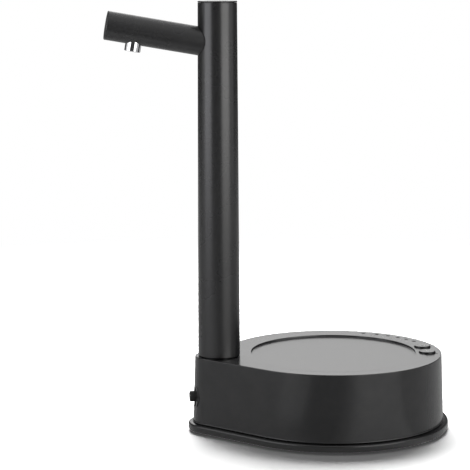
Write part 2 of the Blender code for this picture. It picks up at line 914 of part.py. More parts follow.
def make_control_board():
    """The curved circuit board under the deck's edge, with its lights, chip and battery plug."""
    low = board_z - board_thickness
    board = sector(
        "control_board", board_inner, board_outer, board_start_deg, board_end_deg, low, board_z, green_board
    )
    lights = [(light_reach, angle) for angle in light_angles_deg]
    lights.append((board_outer - led_width * 2 / 3, lens_angle_deg))
    sizes = []
    for number, (ring, angle) in enumerate(lights, 1):
        sizes.append((f"led_{number}", ring, angle, led_length, led_width, led_height, 1))
    sizes.append(("chip", chip_reach, chip_angle_deg, chip_length, chip_width, chip_height, 1))
    sizes.append(("plug", plug_reach, plug_angle_deg, plug_length, plug_width, plug_height, -1))
    for name, ring, angle, length, width, height, side in sizes:
        middle = board_z - board_thickness / 2
        edge = middle + side * (board_thickness / 2 + height)
        bottom, top = min(middle, edge), max(middle, edge)
        piece = block(name, (-width / 2, -length / 2, bottom), (width / 2, length / 2, top))
        piece.location = polar(ring, angle)
        piece.rotation_euler = (0, 0, math.radians(angle))
        join(board, piece)
    for number, angle in enumerate(board_screw_angles_deg, 1):
        x, y, _ = polar(board_screw_reach, angle)
        hole = rod(f"board_hole_{number}", board_pilot + seat_gap, low - cut_overrun, board_z + cut_overrun)
        hole.location = (x, y, 0)
        cut(board, hole)
        seat = (x, y, low - seat_gap)
        make_screw(
            f"board_screw_{number}",
            board_pilot,
            board_screw_length,
            board_screw_head,
            screw_head_height,
            seat,
        )


# Swivel, post and spout

def make_swivel():
    """The bush the post turns in, its clip, and the sealed turning joint of the water way."""
    bush_low = deck_z - bush_flange_height
    bore = neck_radius + turn_gap
    turned(
        "swivel_bush",
        [
            (bush_flange, deck_z),
            (bush_flange, bush_low),
            (socket_bore - seat_gap, bush_low),
            (socket_bore - seat_gap, bush_end_z),
            (bore, bush_end_z),
            (bore, deck_z),
        ],
        black_acetal,
        fine_steps,
        parent=post_axis,
    )
    clip_top = bush_end_z - seat_gap
    clip_in = neck_radius - clip_groove + seat_gap
    clip = turned(
        "retaining_clip",
        [
            (clip_radius, clip_top),
            (clip_radius, clip_top - clip_height),
            (clip_in, clip_top - clip_height),
            (clip_in, clip_top),
        ],
        plain_steel,
        parent=post_axis,
    )
    mouth_low = (0, -clip_mouth / 2, clip_top - clip_height - cut_overrun)
    mouth_high = (clip_radius + cut_overrun, clip_mouth / 2, clip_top + cut_overrun)
    cut(clip, block("clip_mouth", mouth_low, mouth_high, parent=post_axis))
    body = neck_bore - seat_gap
    top = neck_end_z + fitting_length
    socket = water_radius + seat_gap
    middle = (fitting_flange_z + spigot_end_z) / 2
    turned(
        "riser_fitting",
        [
            (body, top),
            (body, neck_end_z - seat_gap),
            (fitting_flange, neck_end_z - seat_gap),
            (fitting_flange, fitting_flange_z),
            (spigot_radius, fitting_flange_z),
            (spigot_radius, middle + ring_groove_height / 2),
            (ring_groove, middle + ring_groove_height / 2),
            (ring_groove, middle - ring_groove_height / 2),
            (spigot_radius, middle - ring_groove_height / 2),
            (spigot_radius, spigot_end_z),
            (riser_bore, spigot_end_z),
            (riser_bore, top - fitting_socket_depth),
            (socket, top - fitting_socket_depth),
            (socket, top),
        ],
        white_acetal,
        parent=post_axis,
    )
    centre = ring_groove + seat_gap + ring_section
    section = []
    for k in range(ring_steps):
        angle = math.pi / 2 - 2 * math.pi * k / ring_steps
        section.append((centre + ring_section * math.cos(angle), middle + ring_section * math.sin(angle)))
    turned("swivel_o_ring", section, black_rubber, parent=post_axis)


def make_outlet_elbow():
    """The fixed elbow under the post: a socket for the turning spigot and a barb for the hose."""
    elbow = turned(
        "outlet_elbow",
        [
            (0, elbow_end_z + elbow_floor),
            (elbow_bore, elbow_end_z + elbow_floor),
            (elbow_bore, elbow_top_z),
            (socket_bore - seat_gap, elbow_top_z),
            (socket_bore - seat_gap, socket_end_z),
            (elbow_radius, socket_end_z),
            (elbow_radius, elbow_end_z),
            (0, elbow_end_z),
        ],
        white_acetal,
        parent=post_axis,
    )
    side = empty("outlet_axis", (0, 0, outlet_z), (0, math.pi / 2, 0), post_axis)
    tip = elbow_radius + seat_gap + barb_length
    root = elbow_bore + elbow_wall / 2
    join(elbow, rod("outlet_barb", outlet_barb, root, tip, steps=small_steps, parent=side))
    cut(elbow, rod("outlet_way", outlet_barb_bore, 0, tip + cut_overrun, steps=small_steps, parent=side))


def make_post():
    """The round post: a tapered tube with a turned neck that passes down through the bush."""
    shoulder = deck_z + seat_gap
    top = post_top_z - post_cap_height - seat_gap
    groove_in = neck_radius - clip_groove
    post = turned(
        "post_tube",
        [
            (post_top_radius, top),
            (post_foot_radius, shoulder),
            (neck_radius, shoulder),
            (neck_radius, bush_end_z),
            (groove_in, bush_end_z),
            (groove_in, groove_end_z),
            (neck_radius, groove_end_z),
            (neck_radius, neck_end_z),
            (neck_bore, neck_end_z),
            (neck_bore, shoulder + neck_taper),
            (post_foot_radius - post_wall, shoulder + 2 * neck_taper),
            (post_top_radius - post_wall, top),
        ],
        black_abs,
        fine_steps,
        parent=post_axis,
    )
    hole = rod("spout_hole", spigot_out + seat_gap, 0, spout_length / 2, steps=plain_steps)
    hole.parent = spout_axis
    cut(post, hole)
    plug = post_top_radius - post_wall - seat_gap
    turned(
        "post_cap",
        [
            (0, post_top_z),
            (post_top_radius - post_cap_edge, post_top_z),
            (post_top_radius, post_top_z - post_cap_edge),
            (post_top_radius, post_top_z - post_cap_height),
            (plug, post_top_z - post_cap_height),
            (plug, post_top_z - post_cap_height - post_plug_depth),
            (plug - post_plug_wall, post_top_z - post_cap_height - post_plug_depth),
            (plug - post_plug_wall, post_top_z - 2 * post_cap_height),
            (0, post_top_z - 2 * post_cap_height),
        ],
        black_abs,
        fine_steps,
        parent=post_axis,
    )


def make_spout():
    """The spout tube, saddled to the post, with its spigot through the post's wall and an end cap."""
    inner = spout_radius - spout_wall
    spout = turned(
        "spout_tube",
        [
            (spout_radius, spout_length),
            (spout_radius, spigot_reach),
            (inner, spigot_reach),
            (inner, spout_length),
        ],
        black_abs,
        fine_steps,
        parent=spout_axis,
    )
    top = post_top_z + cut_overrun
    saddle = turned(
        "saddle",
        [
            (0, top),
            (post_top_radius + seat_gap, top),
            (post_foot_radius + seat_gap, deck_z),
            (0, deck_z),
        ],
        None,
        saddle_steps,
        parent=post_axis,
        rotation=(0, 0, corner_turn / saddle_steps),
    )
    cut(spout, saddle)
    spigot = turned(
        "spout_spigot",
        [
            (spigot_out, spigot_grip),
            (spigot_out, spigot_reach),
            (spigot_in, spigot_reach),
            (spigot_in, spigot_grip),
        ],
        None,
        fine_steps,
        parent=spout_axis,
        rotation=(0, 0, corner_turn / fine_steps),
    )
    join(spout, spigot)
    hole = rod("nozzle_hole", nozzle_radius + seat_gap, nozzle_root, spout_radius + cut_overrun)
    hole.parent = nozzle_axis
    cut(spout, hole)
    plug = inner - seat_gap
    turned(
        "spout_end_cap",
        [
            (0, spout_length),
            (plug, spout_length),
            (plug, spout_length - end_cap_depth),
            (plug - post_plug_wall, spout_length - end_cap_depth),
            (plug - post_plug_wall, spout_length - end_cap_face),
            (0, spout_length - end_cap_face),
        ],
        black_abs,
        fine_steps,
        parent=spout_axis,
    )


nozzle_axis = empty("nozzle_axis", (0, 0, nozzle_along), (0, -math.pi / 2, 0), spout_axis)


def make_nozzle():
    """The polished nozzle, its flow straightener and the elbow block that feeds it."""
    tip = spout_radius + nozzle_proud
    shoulder = nozzle_root + nozzle_step
    turned(
        "nozzle",
        [
            (nozzle_bore, tip),
            (nozzle_bore, shoulder),
            (nozzle_inlet, shoulder),
            (nozzle_inlet, nozzle_root),
            (nozzle_radius, nozzle_root),
            (nozzle_radius, tip - nozzle_edge),
            (nozzle_radius - nozzle_edge, tip),
        ][::-1],
        chrome_steel,
        fine_steps,
        parent=nozzle_axis,
    )
    insert_end = tip - insert_depth
    insert = rod(
        "flow_straightener",
        nozzle_bore - seat_gap,
        insert_end - insert_length,
        insert_end,
        grey_nylon,
        parent=nozzle_axis,
    )
    start = insert_end - insert_length - cut_overrun
    holes = [(0, 0)]
    for k in range(6):
        angle = math.pi * k / 3
        holes.append((insert_reach * math.cos(angle), insert_reach * math.sin(angle)))
    for number, (x, y) in enumerate(holes, 1):
        way = rod(f"straightener_hole_{number}", insert_hole, start, tip, steps=6, parent=nozzle_axis)
        way.location = (x, y, 0)
        cut(insert, way)
    near = nozzle_along - nozzle_elbow_length / 2
    block_radius = spout_radius - spout_wall - seat_gap
    elbow = rod(
        "nozzle_elbow",
        block_radius,
        near,
        near + nozzle_elbow_length,
        white_acetal,
        fine_steps,
        parent=spout_axis,
    )
    socket_end = near + nozzle_elbow_socket
    socket = water_radius + seat_gap
    cut(elbow, rod("elbow_socket", socket, near - cut_overrun, socket_end, parent=spout_axis))
    cut(elbow, rod("elbow_way", water_bore, near, nozzle_along, steps=small_steps, parent=spout_axis))
    seat = rod("elbow_nozzle_seat", nozzle_radius + seat_gap, nozzle_root - seat_gap, spout_radius)
    seat.parent = nozzle_axis
    cut(elbow, seat)
    drop = rod("elbow_drop", nozzle_inlet, 0, spout_radius, steps=small_steps, parent=nozzle_axis)
    cut(elbow, drop)


def make_water_tube():
    """The soft tube that climbs the post and bends into the spout."""
    start_z = neck_end_z + fitting_length - fitting_socket_depth + seat_gap
    turn = math.pi / 2 - tilt
    run = water_bend * math.tan(turn / 2)
    bend_z = spout_z - run
    points = [(post_x, 0, start_z)]
    for k in range(bend_steps + 1):
        angle = turn * k / bend_steps
        x = post_x - water_bend * (1 - math.cos(angle))
        points.append((x, 0, bend_z + water_bend * math.sin(angle)))
    end = nozzle_along - nozzle_elbow_length / 2 + nozzle_elbow_socket - seat_gap
    points.append((post_x - end * math.cos(tilt), 0, spout_z + end * math.sin(tilt)))
    tube("water_tube", points, water_radius, water_bore, clear_silicone)


# Inlet stub and hoses

def make_inlet():
    """The hose stub in the tail's end wall, with its seal against the inside of the wall."""
    seal_low = -seat_gap - inlet_seal_height
    flange_top = seal_low - seat_gap
    flange_low = flange_top - inlet_flange_height
    tip = tail_end_x - inlet_stub_reach
    stub = inlet_pad_x - tip
    barb_end = flange_low - barb_length
    turned(
        "inlet_stub",
        [
            (inlet_stub_radius - inlet_stub_edge, stub),
            (inlet_stub_radius, stub - inlet_stub_edge),
            (inlet_stub_radius, stub - inlet_stub_band),
            (inlet_stub_neck, stub - inlet_stub_band - inlet_stub_edge),
            (inlet_stub_neck, flange_top),
            (inlet_flange_radius, flange_top),
            (inlet_flange_radius, flange_low),
            (inlet_barb, flange_low),
            (inlet_barb, barb_end),
            (inlet_barb_bore, barb_end),
            (inlet_barb_bore, stub),
        ],
        black_abs,
        parent=inlet_axis,
    )
    hole = inlet_stub_neck + seat_gap
    turned(
        "inlet_seal",
        [
            (inlet_flange_radius, -seat_gap),
            (inlet_flange_radius, seal_low),
            (hole, seal_low),
            (hole, -seat_gap),
        ],
        black_rubber,
        parent=inlet_axis,
    )
    return inlet_pad_x - flange_low


def make_hoses(inlet_start_x):
    """The two soft hoses inside the base: stub to pump, and pump to the turning joint."""
    port_x = pump_x - seat_gap
    inlet = smooth_route(
        (inlet_start_x + seat_gap, 0, inlet_z),
        (1, 0, 0),
        (port_x, pump_across - port_spread, pump_z),
        (-1, 0, 0),
        (port_x - inlet_start_x) * hose_pull_share,
        route_steps,
    )
    tube("inlet_hose", inlet, inlet_hose_radius, inlet_hose_bore, clear_silicone)
    outlet_start_x = post_x + elbow_radius + seat_gap
    outlet = smooth_route(
        (outlet_start_x, 0, outlet_z),
        (1, 0, 0),
        (port_x, pump_across + port_spread, pump_z),
        (-1, 0, 0),
        (port_x - outlet_start_x) * hose_pull_share,
        route_steps,
    )
    tube("outlet_hose", outlet, outlet_hose_radius, outlet_hose_bore, clear_silicone)


# Pump

def pump_round(name, radius, start, end, finish, steps=plain_steps):
    """A round piece on the pump's axis."""
    return rod(name, radius, start, end, finish, steps, parent=pump_axis)


def make_pump_head():
    """The head with its two ports, the valve plate, the diaphragm and the frame round the drive."""
    head = turned(
        "pump_head",
        [
            (0, head_length),
            (pump_radius, head_length),
            (pump_radius, head_edge),
            (pump_radius - head_edge, 0),
            (0, 0),
        ],
        black_acetal,
        fine_steps,
        parent=pump_axis,
    )
    floor = head_length - head_cavity_depth
    cut(head, pump_round("head_cavity", head_cavity, floor, head_length + cut_overrun, None))
    wall = block(
        "head_rib",
        (-head_cavity - seat_gap, -seat_gap * 2, floor - seat_gap),
        (head_cavity + seat_gap, seat_gap * 2, head_length - seat_gap),
        parent=pump_axis,
    )
    join(head, wall)
    for name, side, barb, bore in (
        ("inlet", -1, inlet_hose_bore - seat_gap, inlet_barb_bore),
        ("outlet", 1, outlet_hose_bore - seat_gap, outlet_barb_bore),
    ):
        port = rod(f"{name}_port", barb, -port_length, head_edge, steps=small_steps, parent=pump_axis)
        low = -port_length - cut_overrun
        way = rod(f"{name}_port_way", bore, low, floor + cut_overrun, steps=small_steps, parent=pump_axis)
        for tool in (port, way):
            tool.location = (0, side * port_spread, 0)
        join(head, port)
        cut(head, way)
    plate_start = head_length + seat_gap
    plate_end = plate_start + plate_height
    plate = pump_round("valve_plate", pump_radius, plate_start, plate_end, white_acetal, fine_steps)
    skin_start = plate_end + seat_gap
    skin = pump_round("diaphragm", pump_radius, skin_start, skin_start + skin_height, red_rubber, fine_steps)
    frame_start = skin_start + skin_height + seat_gap
    frame_end = frame_start + frame_length
    frame = pump_round("pump_frame", pump_radius, frame_start, frame_end, black_acetal, fine_steps)
    back = frame_end - frame_back
    cut(frame, pump_round("frame_hollow", frame_bore, frame_start - cut_overrun, back, None, fine_steps))
    cut(frame, pump_round("frame_hole", frame_hole, back - cut_overrun, frame_end + cut_overrun, None))
    for number in range(3):
        angle = 2 * math.pi * number / 3
        x, y = math.cos(angle), math.sin(angle)
        hole = rod(f"valve_hole_{number + 1}", valve_hole, head_length, skin_start, steps=small_steps)
        hole.parent = pump_axis
        hole.location = (valve_reach * x, valve_reach * y, 0)
        cut(plate, hole)
        cup_start = skin_start + skin_height / 2
        cup_end = skin_start + skin_height + cup_length
        stem_end = cup_end + stem_length
        cup = turned(
            f"diaphragm_cup_{number + 1}",
            [
                (0, stem_end),
                (stem_radius, stem_end),
                (stem_radius, cup_end),
                (cup_radius / 2, cup_end),
                (cup_radius, cup_end - cup_length / 2),
                (cup_radius, cup_start),
                (0, cup_start),
            ],
            None,
            small_steps,
            parent=pump_axis,
        )
        cup.location = (cup_reach * x, cup_reach * y, 0)
        join(skin, cup)
    for number, side in enumerate((1, -1), 1):
        place_ = (side * pump_screw_reach, 0, -seat_gap)
        room = pump_screw_shank + seat_gap
        tip = pump_screw_length
        for target in (head, plate, skin, frame):
            way = rod(f"{target.name}_way_{number}", room, -cut_overrun, tip, steps=small_steps)
            way.parent = pump_axis
            way.location = (side * pump_screw_reach, 0, 0)
            cut(target, way)
        make_screw(
            f"pump_screw_{number}",
            pump_screw_shank,
            pump_screw_length - seat_gap,
            pump_screw_head,
            pump_screw_head_height,
            place_,
            pump_axis,
        )
    return frame_end + seat_gap


def make_motor(start):
    """The pump's small DC motor: can, ring magnet, armature, shaft, front bearing and end cap."""
    end = start + motor_length
    inner = motor_radius - motor_wall
    pocket = motor_boss - motor_wall
    turned(
        "motor_can",
        [
            (motor_radius, end),
            (inner, end),
            (inner, start + motor_front),
            (pocket, start + motor_front),
            (pocket, start + motor_wall - motor_boss_height),
            (shaft_radius + seat_gap, start + motor_wall - motor_boss_height),
            (shaft_radius + seat_gap, start - motor_boss_height),
            (motor_boss, start - motor_boss_height),
            (motor_boss, start),
            (motor_radius - motor_edge, start),
            (motor_radius, start + motor_edge),
        ][::-1],
        plain_steel,
        fine_steps,
        parent=pump_axis,
    )
    bearing_start = start + motor_wall - motor_boss_height + seat_gap
    turned(
        "front_bearing",
        [
            (pocket - seat_gap, bearing_start + bearing_height),
            (pocket - seat_gap, bearing_start),
            (shaft_radius + seat_gap, bearing_start),
            (shaft_radius + seat_gap, bearing_start + bearing_height),
        ],
        bronze,
        small_steps,
        parent=pump_axis,
    )
    magnet_start = start + (motor_length - magnet_length) / 2
    magnet_out = inner - seat_gap
    magnet_in = magnet_out - magnet_thickness
    turned(
        "ring_magnet",
        [
            (magnet_out, magnet_start + magnet_length),
            (magnet_out, magnet_start),
            (magnet_in, magnet_start),
            (magnet_in, magnet_start + magnet_length),
        ],
        dark_ferrite,
        fine_steps,
        parent=pump_axis,
    )
    core_start = start + (motor_length - armature_length) / 2
    core_end = core_start + armature_length
    bore = shaft_radius + seat_gap
    armature = turned(
        "armature",
        [
            (commutator_radius, core_end + commutator_length),
            (commutator_radius, core_end),
            (armature_radius, core_end),
            (armature_radius, core_start),
            (bore, core_start),
            (bore, core_end + commutator_length),
        ],
        copper_wire,
        fine_steps,
        parent=pump_axis,
    )
    for number in range(3):
        turn = math.pi / 3 + 2 * math.pi * number / 3
        slot = block(
            f"armature_slot_{number + 1}",
            (armature_radius - armature_slot_depth, -armature_slot / 2, core_start - cut_overrun),
            (armature_radius + cut_overrun, armature_slot / 2, core_end + seat_gap),
            parent=pump_axis,
            rotation=(0, 0, turn),
        )
        cut(armature, slot)
    cap_start = end - motor_cap_height
    cap = pump_round("motor_end_cap", inner - seat_gap, cap_start, end, black_acetal, fine_steps)
    shaft_end = cap_start + motor_cap_height / 2
    bearing_end = shaft_end + shaft_end_gap
    cut(cap, pump_round("cap_bearing", bore, cap_start - cut_overrun, bearing_end, None, small_steps))
    for number, side in enumerate((1, -1), 1):
        middle = side * terminal_spread
        tab_low = (-terminal_width / 2, middle - terminal_thickness / 2, shaft_end)
        tab_high = (terminal_width / 2, middle + terminal_thickness / 2, end + terminal_length)
        join(cap, block(f"terminal_{number}", tab_low, tab_high, parent=pump_axis))
    return shaft_end


def make_drive(motor_start, shaft_end):
    """The shaft, the hub with its slanted pin, and the wobble plate that the pin rocks."""
    hub_end = motor_start - motor_boss_height - seat_gap * 2
    hub_start = hub_end - hub_height
    shaft_start = hub_start + hub_height / 3
    rod("motor_shaft", shaft_radius, shaft_start, shaft_end, plain_steel, small_steps, parent=pump_axis)
    hub = pump_round("eccentric_hub", hub_radius, hub_start, hub_end, white_acetal)
    pin_start = hub_start - wobble_pivot - pin_length
    pin_end = hub_end - wobble_pivot - hub_height * 4 / 5
    pin = rod("slanted_pin", pin_radius, pin_start, pin_end, steps=small_steps)
    pin.parent = wobble_axis
    join(hub, pin)
    bore = shaft_radius + seat_gap
    low = shaft_start - seat_gap
    cut(hub, pump_round("hub_bore", bore, low, hub_end + cut_overrun, None, small_steps))
    plate_end = hub_start - wobble_pivot - seat_gap * 4
    plate = rod(
        "wobble_plate",
        wobble_radius,
        plate_end - wobble_thickness,
        plate_end,
        white_acetal,
        fine_steps,
        parent=wobble_axis,
    )
    boss_end = plate_end - wobble_thickness / 2
    join(plate, rod("wobble_boss", wobble_hub, plate_end - wobble_hub_length, boss_end, parent=wobble_axis))
    low = plate_end - wobble_thickness - cut_overrun
    high = plate_end + cut_overrun
    for number in range(3):
        angle = math.pi / 3 + 2 * math.pi * number / 3
        notch = rod(f"wobble_notch_{number + 1}", wobble_notch, low, high, steps=small_steps)
        notch.parent = wobble_axis
        notch.location = (wobble_radius * math.cos(angle), wobble_radius * math.sin(angle), 0)
        cut(plate, notch)
    low = pin_start - seat_gap
    cut(plate, rod("wobble_well", pin_radius + seat_gap, low, high, steps=small_steps, parent=wobble_axis))


def make_motor_mount():
    """The rubber sleeve round the motor and the strap that clamps it in the cradle."""
    sleeve_in = motor_radius + seat_gap
    sleeve_out = sleeve_in + sleeve_wall
    turned(
        "motor_sleeve",
        [
            (sleeve_out, sleeve_start + sleeve_length),
            (sleeve_out, sleeve_start),
            (sleeve_in, sleeve_start),
            (sleeve_in, sleeve_start + sleeve_length),
        ],
        black_rubber,
        fine_steps,
        parent=pump_axis,
    )
    start = sleeve_start + (sleeve_length - clamp_length) / 2
    end = start + clamp_length
    strap_in = sleeve_out + seat_gap
    strap_out = strap_in + clamp_wall
    clamp = rod("motor_clamp", strap_out, start, end, black_acetal, fine_steps, parent=pump_axis)
    reach = strap_out + clamp_ear
    ear_low = (clamp_leg - clamp_wall, -reach, start)
    ear_high = (clamp_leg, reach, end)
    leg_low = (0, -strap_out, start)
    leg_high = (clamp_leg, strap_out, end)
    join(clamp, block("clamp_legs", leg_low, leg_high, parent=pump_axis))
    join(clamp, block("clamp_ears", ear_low, ear_high, parent=pump_axis))
    low = start - cut_overrun
    high = end + cut_overrun
    side = reach + cut_overrun
    cut(clamp, block("clamp_below", (clamp_leg, -side, low), (side, side, high), parent=pump_axis))
    cut(clamp, rod("clamp_bore", strap_in, low, high, steps=fine_steps, parent=pump_axis))
    mouth = clamp_leg + cut_overrun
    cut(clamp, block("clamp_mouth", (0, -strap_in, low), (mouth, strap_in, high), parent=pump_axis))
    for number, (x, y, _) in enumerate(clamp_places, 1):
        hole = rod(f"clamp_ear_hole_{number}", screw_shank + seat_gap, clamp_ear_z - cut_overrun, pump_z)
        hole.location = (x, y, 0)
        cut(clamp, hole)
        make_screw(
            f"clamp_screw_{number}",
            screw_shank,
            clamp_screw_length,
            screw_head,
            screw_head_height,
            (x, y, clamp_ear_z + clamp_wall + seat_gap),
            turn=(math.pi, 0, 0),
        )


# Battery and charging

def make_battery():
    """A round lithium cell lying in an open tray."""
    cell_z = floor_z + 2 * seat_gap + holder_wall + cell_radius
    lying = empty(
        "cell_axis", (round_x + cell_centre_along, cell_centre_across, cell_z), (0, math.pi / 2, 0)
    )
    half = cell_length / 2
    shoulder = half - cell_button_height
    turned(
        "battery_cell",
        [
            (0, half),
            (cell_button_radius, half),
            (cell_button_radius, shoulder),
            (cell_radius - cell_edge, shoulder),
            (cell_radius, shoulder - cell_edge),
            (cell_radius, cell_edge - half),
            (cell_radius - cell_edge, -half),
            (0, -half),
        ],
        cell_wrap,
        fine_steps,
        parent=lying,
    )
    inner_x = half + seat_gap
    inner_y = cell_radius + seat_gap
    low_z = -cell_radius - seat_gap - holder_wall
    tray = block(
        "battery_holder",
        (-inner_x - holder_wall, -inner_y - holder_wall, low_z),
        (inner_x + holder_wall, inner_y + holder_wall, low_z + holder_height),
        black_acetal,
        location=tuple(lying.location),
    )
    high_z = low_z + holder_height + cut_overrun
    middle = tuple(lying.location)
    low = (-inner_x, -inner_y, low_z + holder_wall)
    cut(tray, block("holder_hollow", low, (inner_x, inner_y, high_z), location=middle))
    half = holder_finger_gap / 2
    side = inner_y + holder_wall + cut_overrun
    cut(tray, block("holder_finger_gap", (-half, -side, -seat_gap), (half, side, high_z), location=middle))


def make_charging_socket():
    """The charging socket in the far flank, on its own small board."""
    half_width = usb_width / 2
    half_height = usb_thickness / 2
    front = -usb_set_back
    back = front - usb_depth
    shell = slot(
        "usb_c_socket",
        half_width,
        half_height,
        usb_corner,
        back,
        front,
        plain_steel,
        parent=usb_frame,
    )
    hollow = slot(
        "usb_hollow",
        half_width - usb_sheet,
        half_height - usb_sheet,
        usb_corner - usb_sheet,
        back + usb_back,
        cut_overrun,
        parent=usb_frame,
    )
    cut(shell, hollow)
    tongue = block(
        "usb_tongue",
        (back + usb_back / 2, -usb_tongue_width / 2, -usb_tongue_thickness / 2),
        (back + usb_back + usb_tongue_length, usb_tongue_width / 2, usb_tongue_thickness / 2),
        parent=usb_frame,
    )
    join(shell, tongue)
    low = usb_board_z
    block(
        "usb_board",
        (-usb_inner - usb_board_depth, -usb_board_width / 2, low),
        (-usb_inner, usb_board_width / 2, low + usb_board_thickness),
        green_board,
        parent=usb_frame,
    )


make_base_plate()
make_feet()
make_case_screws()
make_housing()
make_buttons()
make_switches()
make_lights()
make_control_board()
make_swivel()
make_outlet_elbow()
make_post()
make_spout()
make_nozzle()
make_water_tube()
make_hoses(make_inlet())
motor_start = make_pump_head()
shaft_end_s = make_motor(motor_start)
make_drive(motor_start, shaft_end_s)
make_motor_mount()
make_battery()
make_charging_socket()
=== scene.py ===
# %% [markdown]
# # A bottled water pump in satin black plastic
#
# A small pump for a desk. Its tail takes water from a bottle through a hose, and its
# spout lets the water out at the top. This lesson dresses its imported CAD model: the
# outer pieces are modelled again with the soft edges that moulded plastic has, and the
# pieces inside keep their CAD shape and get the finish of the real material.
#
# All lengths here are in metres, so `mm` is written behind a size that is easier to
# think of in millimetres.

import math

import bmesh
import bpy
from mathutils import Matrix, Vector


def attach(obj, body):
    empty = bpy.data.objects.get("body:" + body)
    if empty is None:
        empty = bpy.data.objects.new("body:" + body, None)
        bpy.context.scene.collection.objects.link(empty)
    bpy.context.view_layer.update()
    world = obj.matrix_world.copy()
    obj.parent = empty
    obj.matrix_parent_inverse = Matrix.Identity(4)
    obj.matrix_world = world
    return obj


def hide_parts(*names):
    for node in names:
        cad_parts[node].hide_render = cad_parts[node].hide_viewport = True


mm = 0.001
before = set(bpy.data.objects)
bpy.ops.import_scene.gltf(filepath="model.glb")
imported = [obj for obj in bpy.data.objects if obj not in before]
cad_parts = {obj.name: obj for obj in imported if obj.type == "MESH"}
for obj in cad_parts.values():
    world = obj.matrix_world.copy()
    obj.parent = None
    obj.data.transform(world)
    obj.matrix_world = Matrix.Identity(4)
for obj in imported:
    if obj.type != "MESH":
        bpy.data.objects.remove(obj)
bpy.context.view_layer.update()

# %% [markdown]
# ## The studio
#
# A product like this is photographed from a metre away with a long lens, so that its
# upright lines stay almost parallel. The camera looks down a little, and the deck is
# seen at a very flat angle. That flat angle is why black plastic looks grey there.

# %% Camera
look_down, turn, roll = 8.385, -7.309, -0.22
bpy.ops.object.camera_add(location=(-157.6 * mm, -1034.5 * mm, 267.4 * mm))
camera = bpy.context.object
camera.name = "camera"
camera.rotation_euler = (math.radians(90 - look_down), 0, math.radians(turn))
camera.rotation_euler.rotate_axis("Z", math.radians(roll))
camera.data.lens = 141.7
camera.data.sensor_width = 36
bpy.context.scene.camera = camera
bpy.context.scene.view_settings.view_transform = "Standard"
print("camera at", [round(value, 3) for value in camera.location])

# %% [markdown]
# Two small helpers serve every material. Artists choose colours as the hex codes that a
# screen shows, and Blender's sockets want linear values, so `linear` converts them.
# `add` puts one node into a tree with its settings and links, in the order in which the
# light or the pattern flows.

# %% Colour and node helpers
def linear(hex_colour):
    """An sRGB hex colour as the linear RGBA of a colour socket."""
    channels = [int(hex_colour[i:i + 2], 16) / 255 for i in (0, 2, 4)]
    return [c / 12.92 if c <= 0.04045 else ((c + 0.055) / 1.055) ** 2.4 for c in channels] + [1]


def add(tree, kind, settings=(), links=()):
    """Adds one node, sets its sockets or options, and links what feeds it."""
    new = tree.nodes.new(kind)
    for name, value in dict(settings).items():
        if isinstance(name, int) or name in new.inputs:
            new.inputs[name].default_value = value
        else:
            setattr(new, name, value)
    for name, source in dict(links).items():
        tree.links.new(source, new.inputs[name])
    return new


# %% [markdown]
# The world is the white room round the object. It gives soft light from all sides. Rays
# from the camera, and rays that a glossy or clear surface sends on, see it at a strength
# of one, which is plain white.

# %% World
world = bpy.data.worlds.new("white_room")
bpy.context.scene.world = world
world.use_nodes = True
room = world.node_tree
room.nodes.clear()
ray = add(room, "ShaderNodeLightPath")
seen = add(room, "ShaderNodeMath", {"operation": "MAXIMUM"},
           {0: ray.outputs["Is Camera Ray"], 1: ray.outputs["Is Glossy Ray"]})
seen = add(room, "ShaderNodeMath", {"operation": "MAXIMUM"},
           {0: seen.outputs[0], 1: ray.outputs["Is Transmission Ray"]})
soft = add(room, "ShaderNodeBackground", {"Color": linear("ffffff"), "Strength": 0.08})
white = add(room, "ShaderNodeBackground", {"Color": linear("ffffff"), "Strength": 1.0})
mixed = add(room, "ShaderNodeMixShader", (), {0: seen.outputs[0], 1: soft.outputs[0], 2: white.outputs[0]})
add(room, "ShaderNodeOutputWorld", (), {"Surface": mixed.outputs[0]})
print("world has", len(room.nodes), "nodes")

# %% [markdown]
# An operator acts on whatever is selected and open, so every step starts from a clean
# selection. Three more small helpers name a new primitive, start a mesh from nothing,
# and start a material from nothing.

# %% Helpers for objects and materials
def clear_selection():
    """Leaves edit mode and selects nothing, because an operator acts on all that is selected."""
    if bpy.context.object and bpy.context.object.mode == "EDIT":
        bpy.ops.object.mode_set(mode="OBJECT")
    bpy.ops.object.select_all(action="DESELECT")


def named(name):
    """Gives the primitive just added its own name."""
    piece = bpy.context.object
    piece.name = piece.data.name = name
    return piece


def empty_mesh(name):
    """A new object in edit mode with nothing in it yet, ready for corners set by hand."""
    clear_selection()
    bpy.ops.mesh.primitive_plane_add(size=1 * mm)
    piece = named(name)
    bpy.ops.object.mode_set(mode="EDIT")
    bpy.ops.mesh.delete(type="VERT")
    return piece


def new_material(name):
    """An empty node material."""
    material = bpy.data.materials.new(name)
    material.use_nodes = True
    material.node_tree.nodes.clear()
    return material


# %% [markdown]
# The floor is matt white card. The camera sees it a little over-exposed, as studios do,
# so that it runs into the white room without an edge, and it still darkens where the
# object keeps the lamps off it. Far from the object it fades into plain white. The
# plastic mirrors it as an even pale grey.

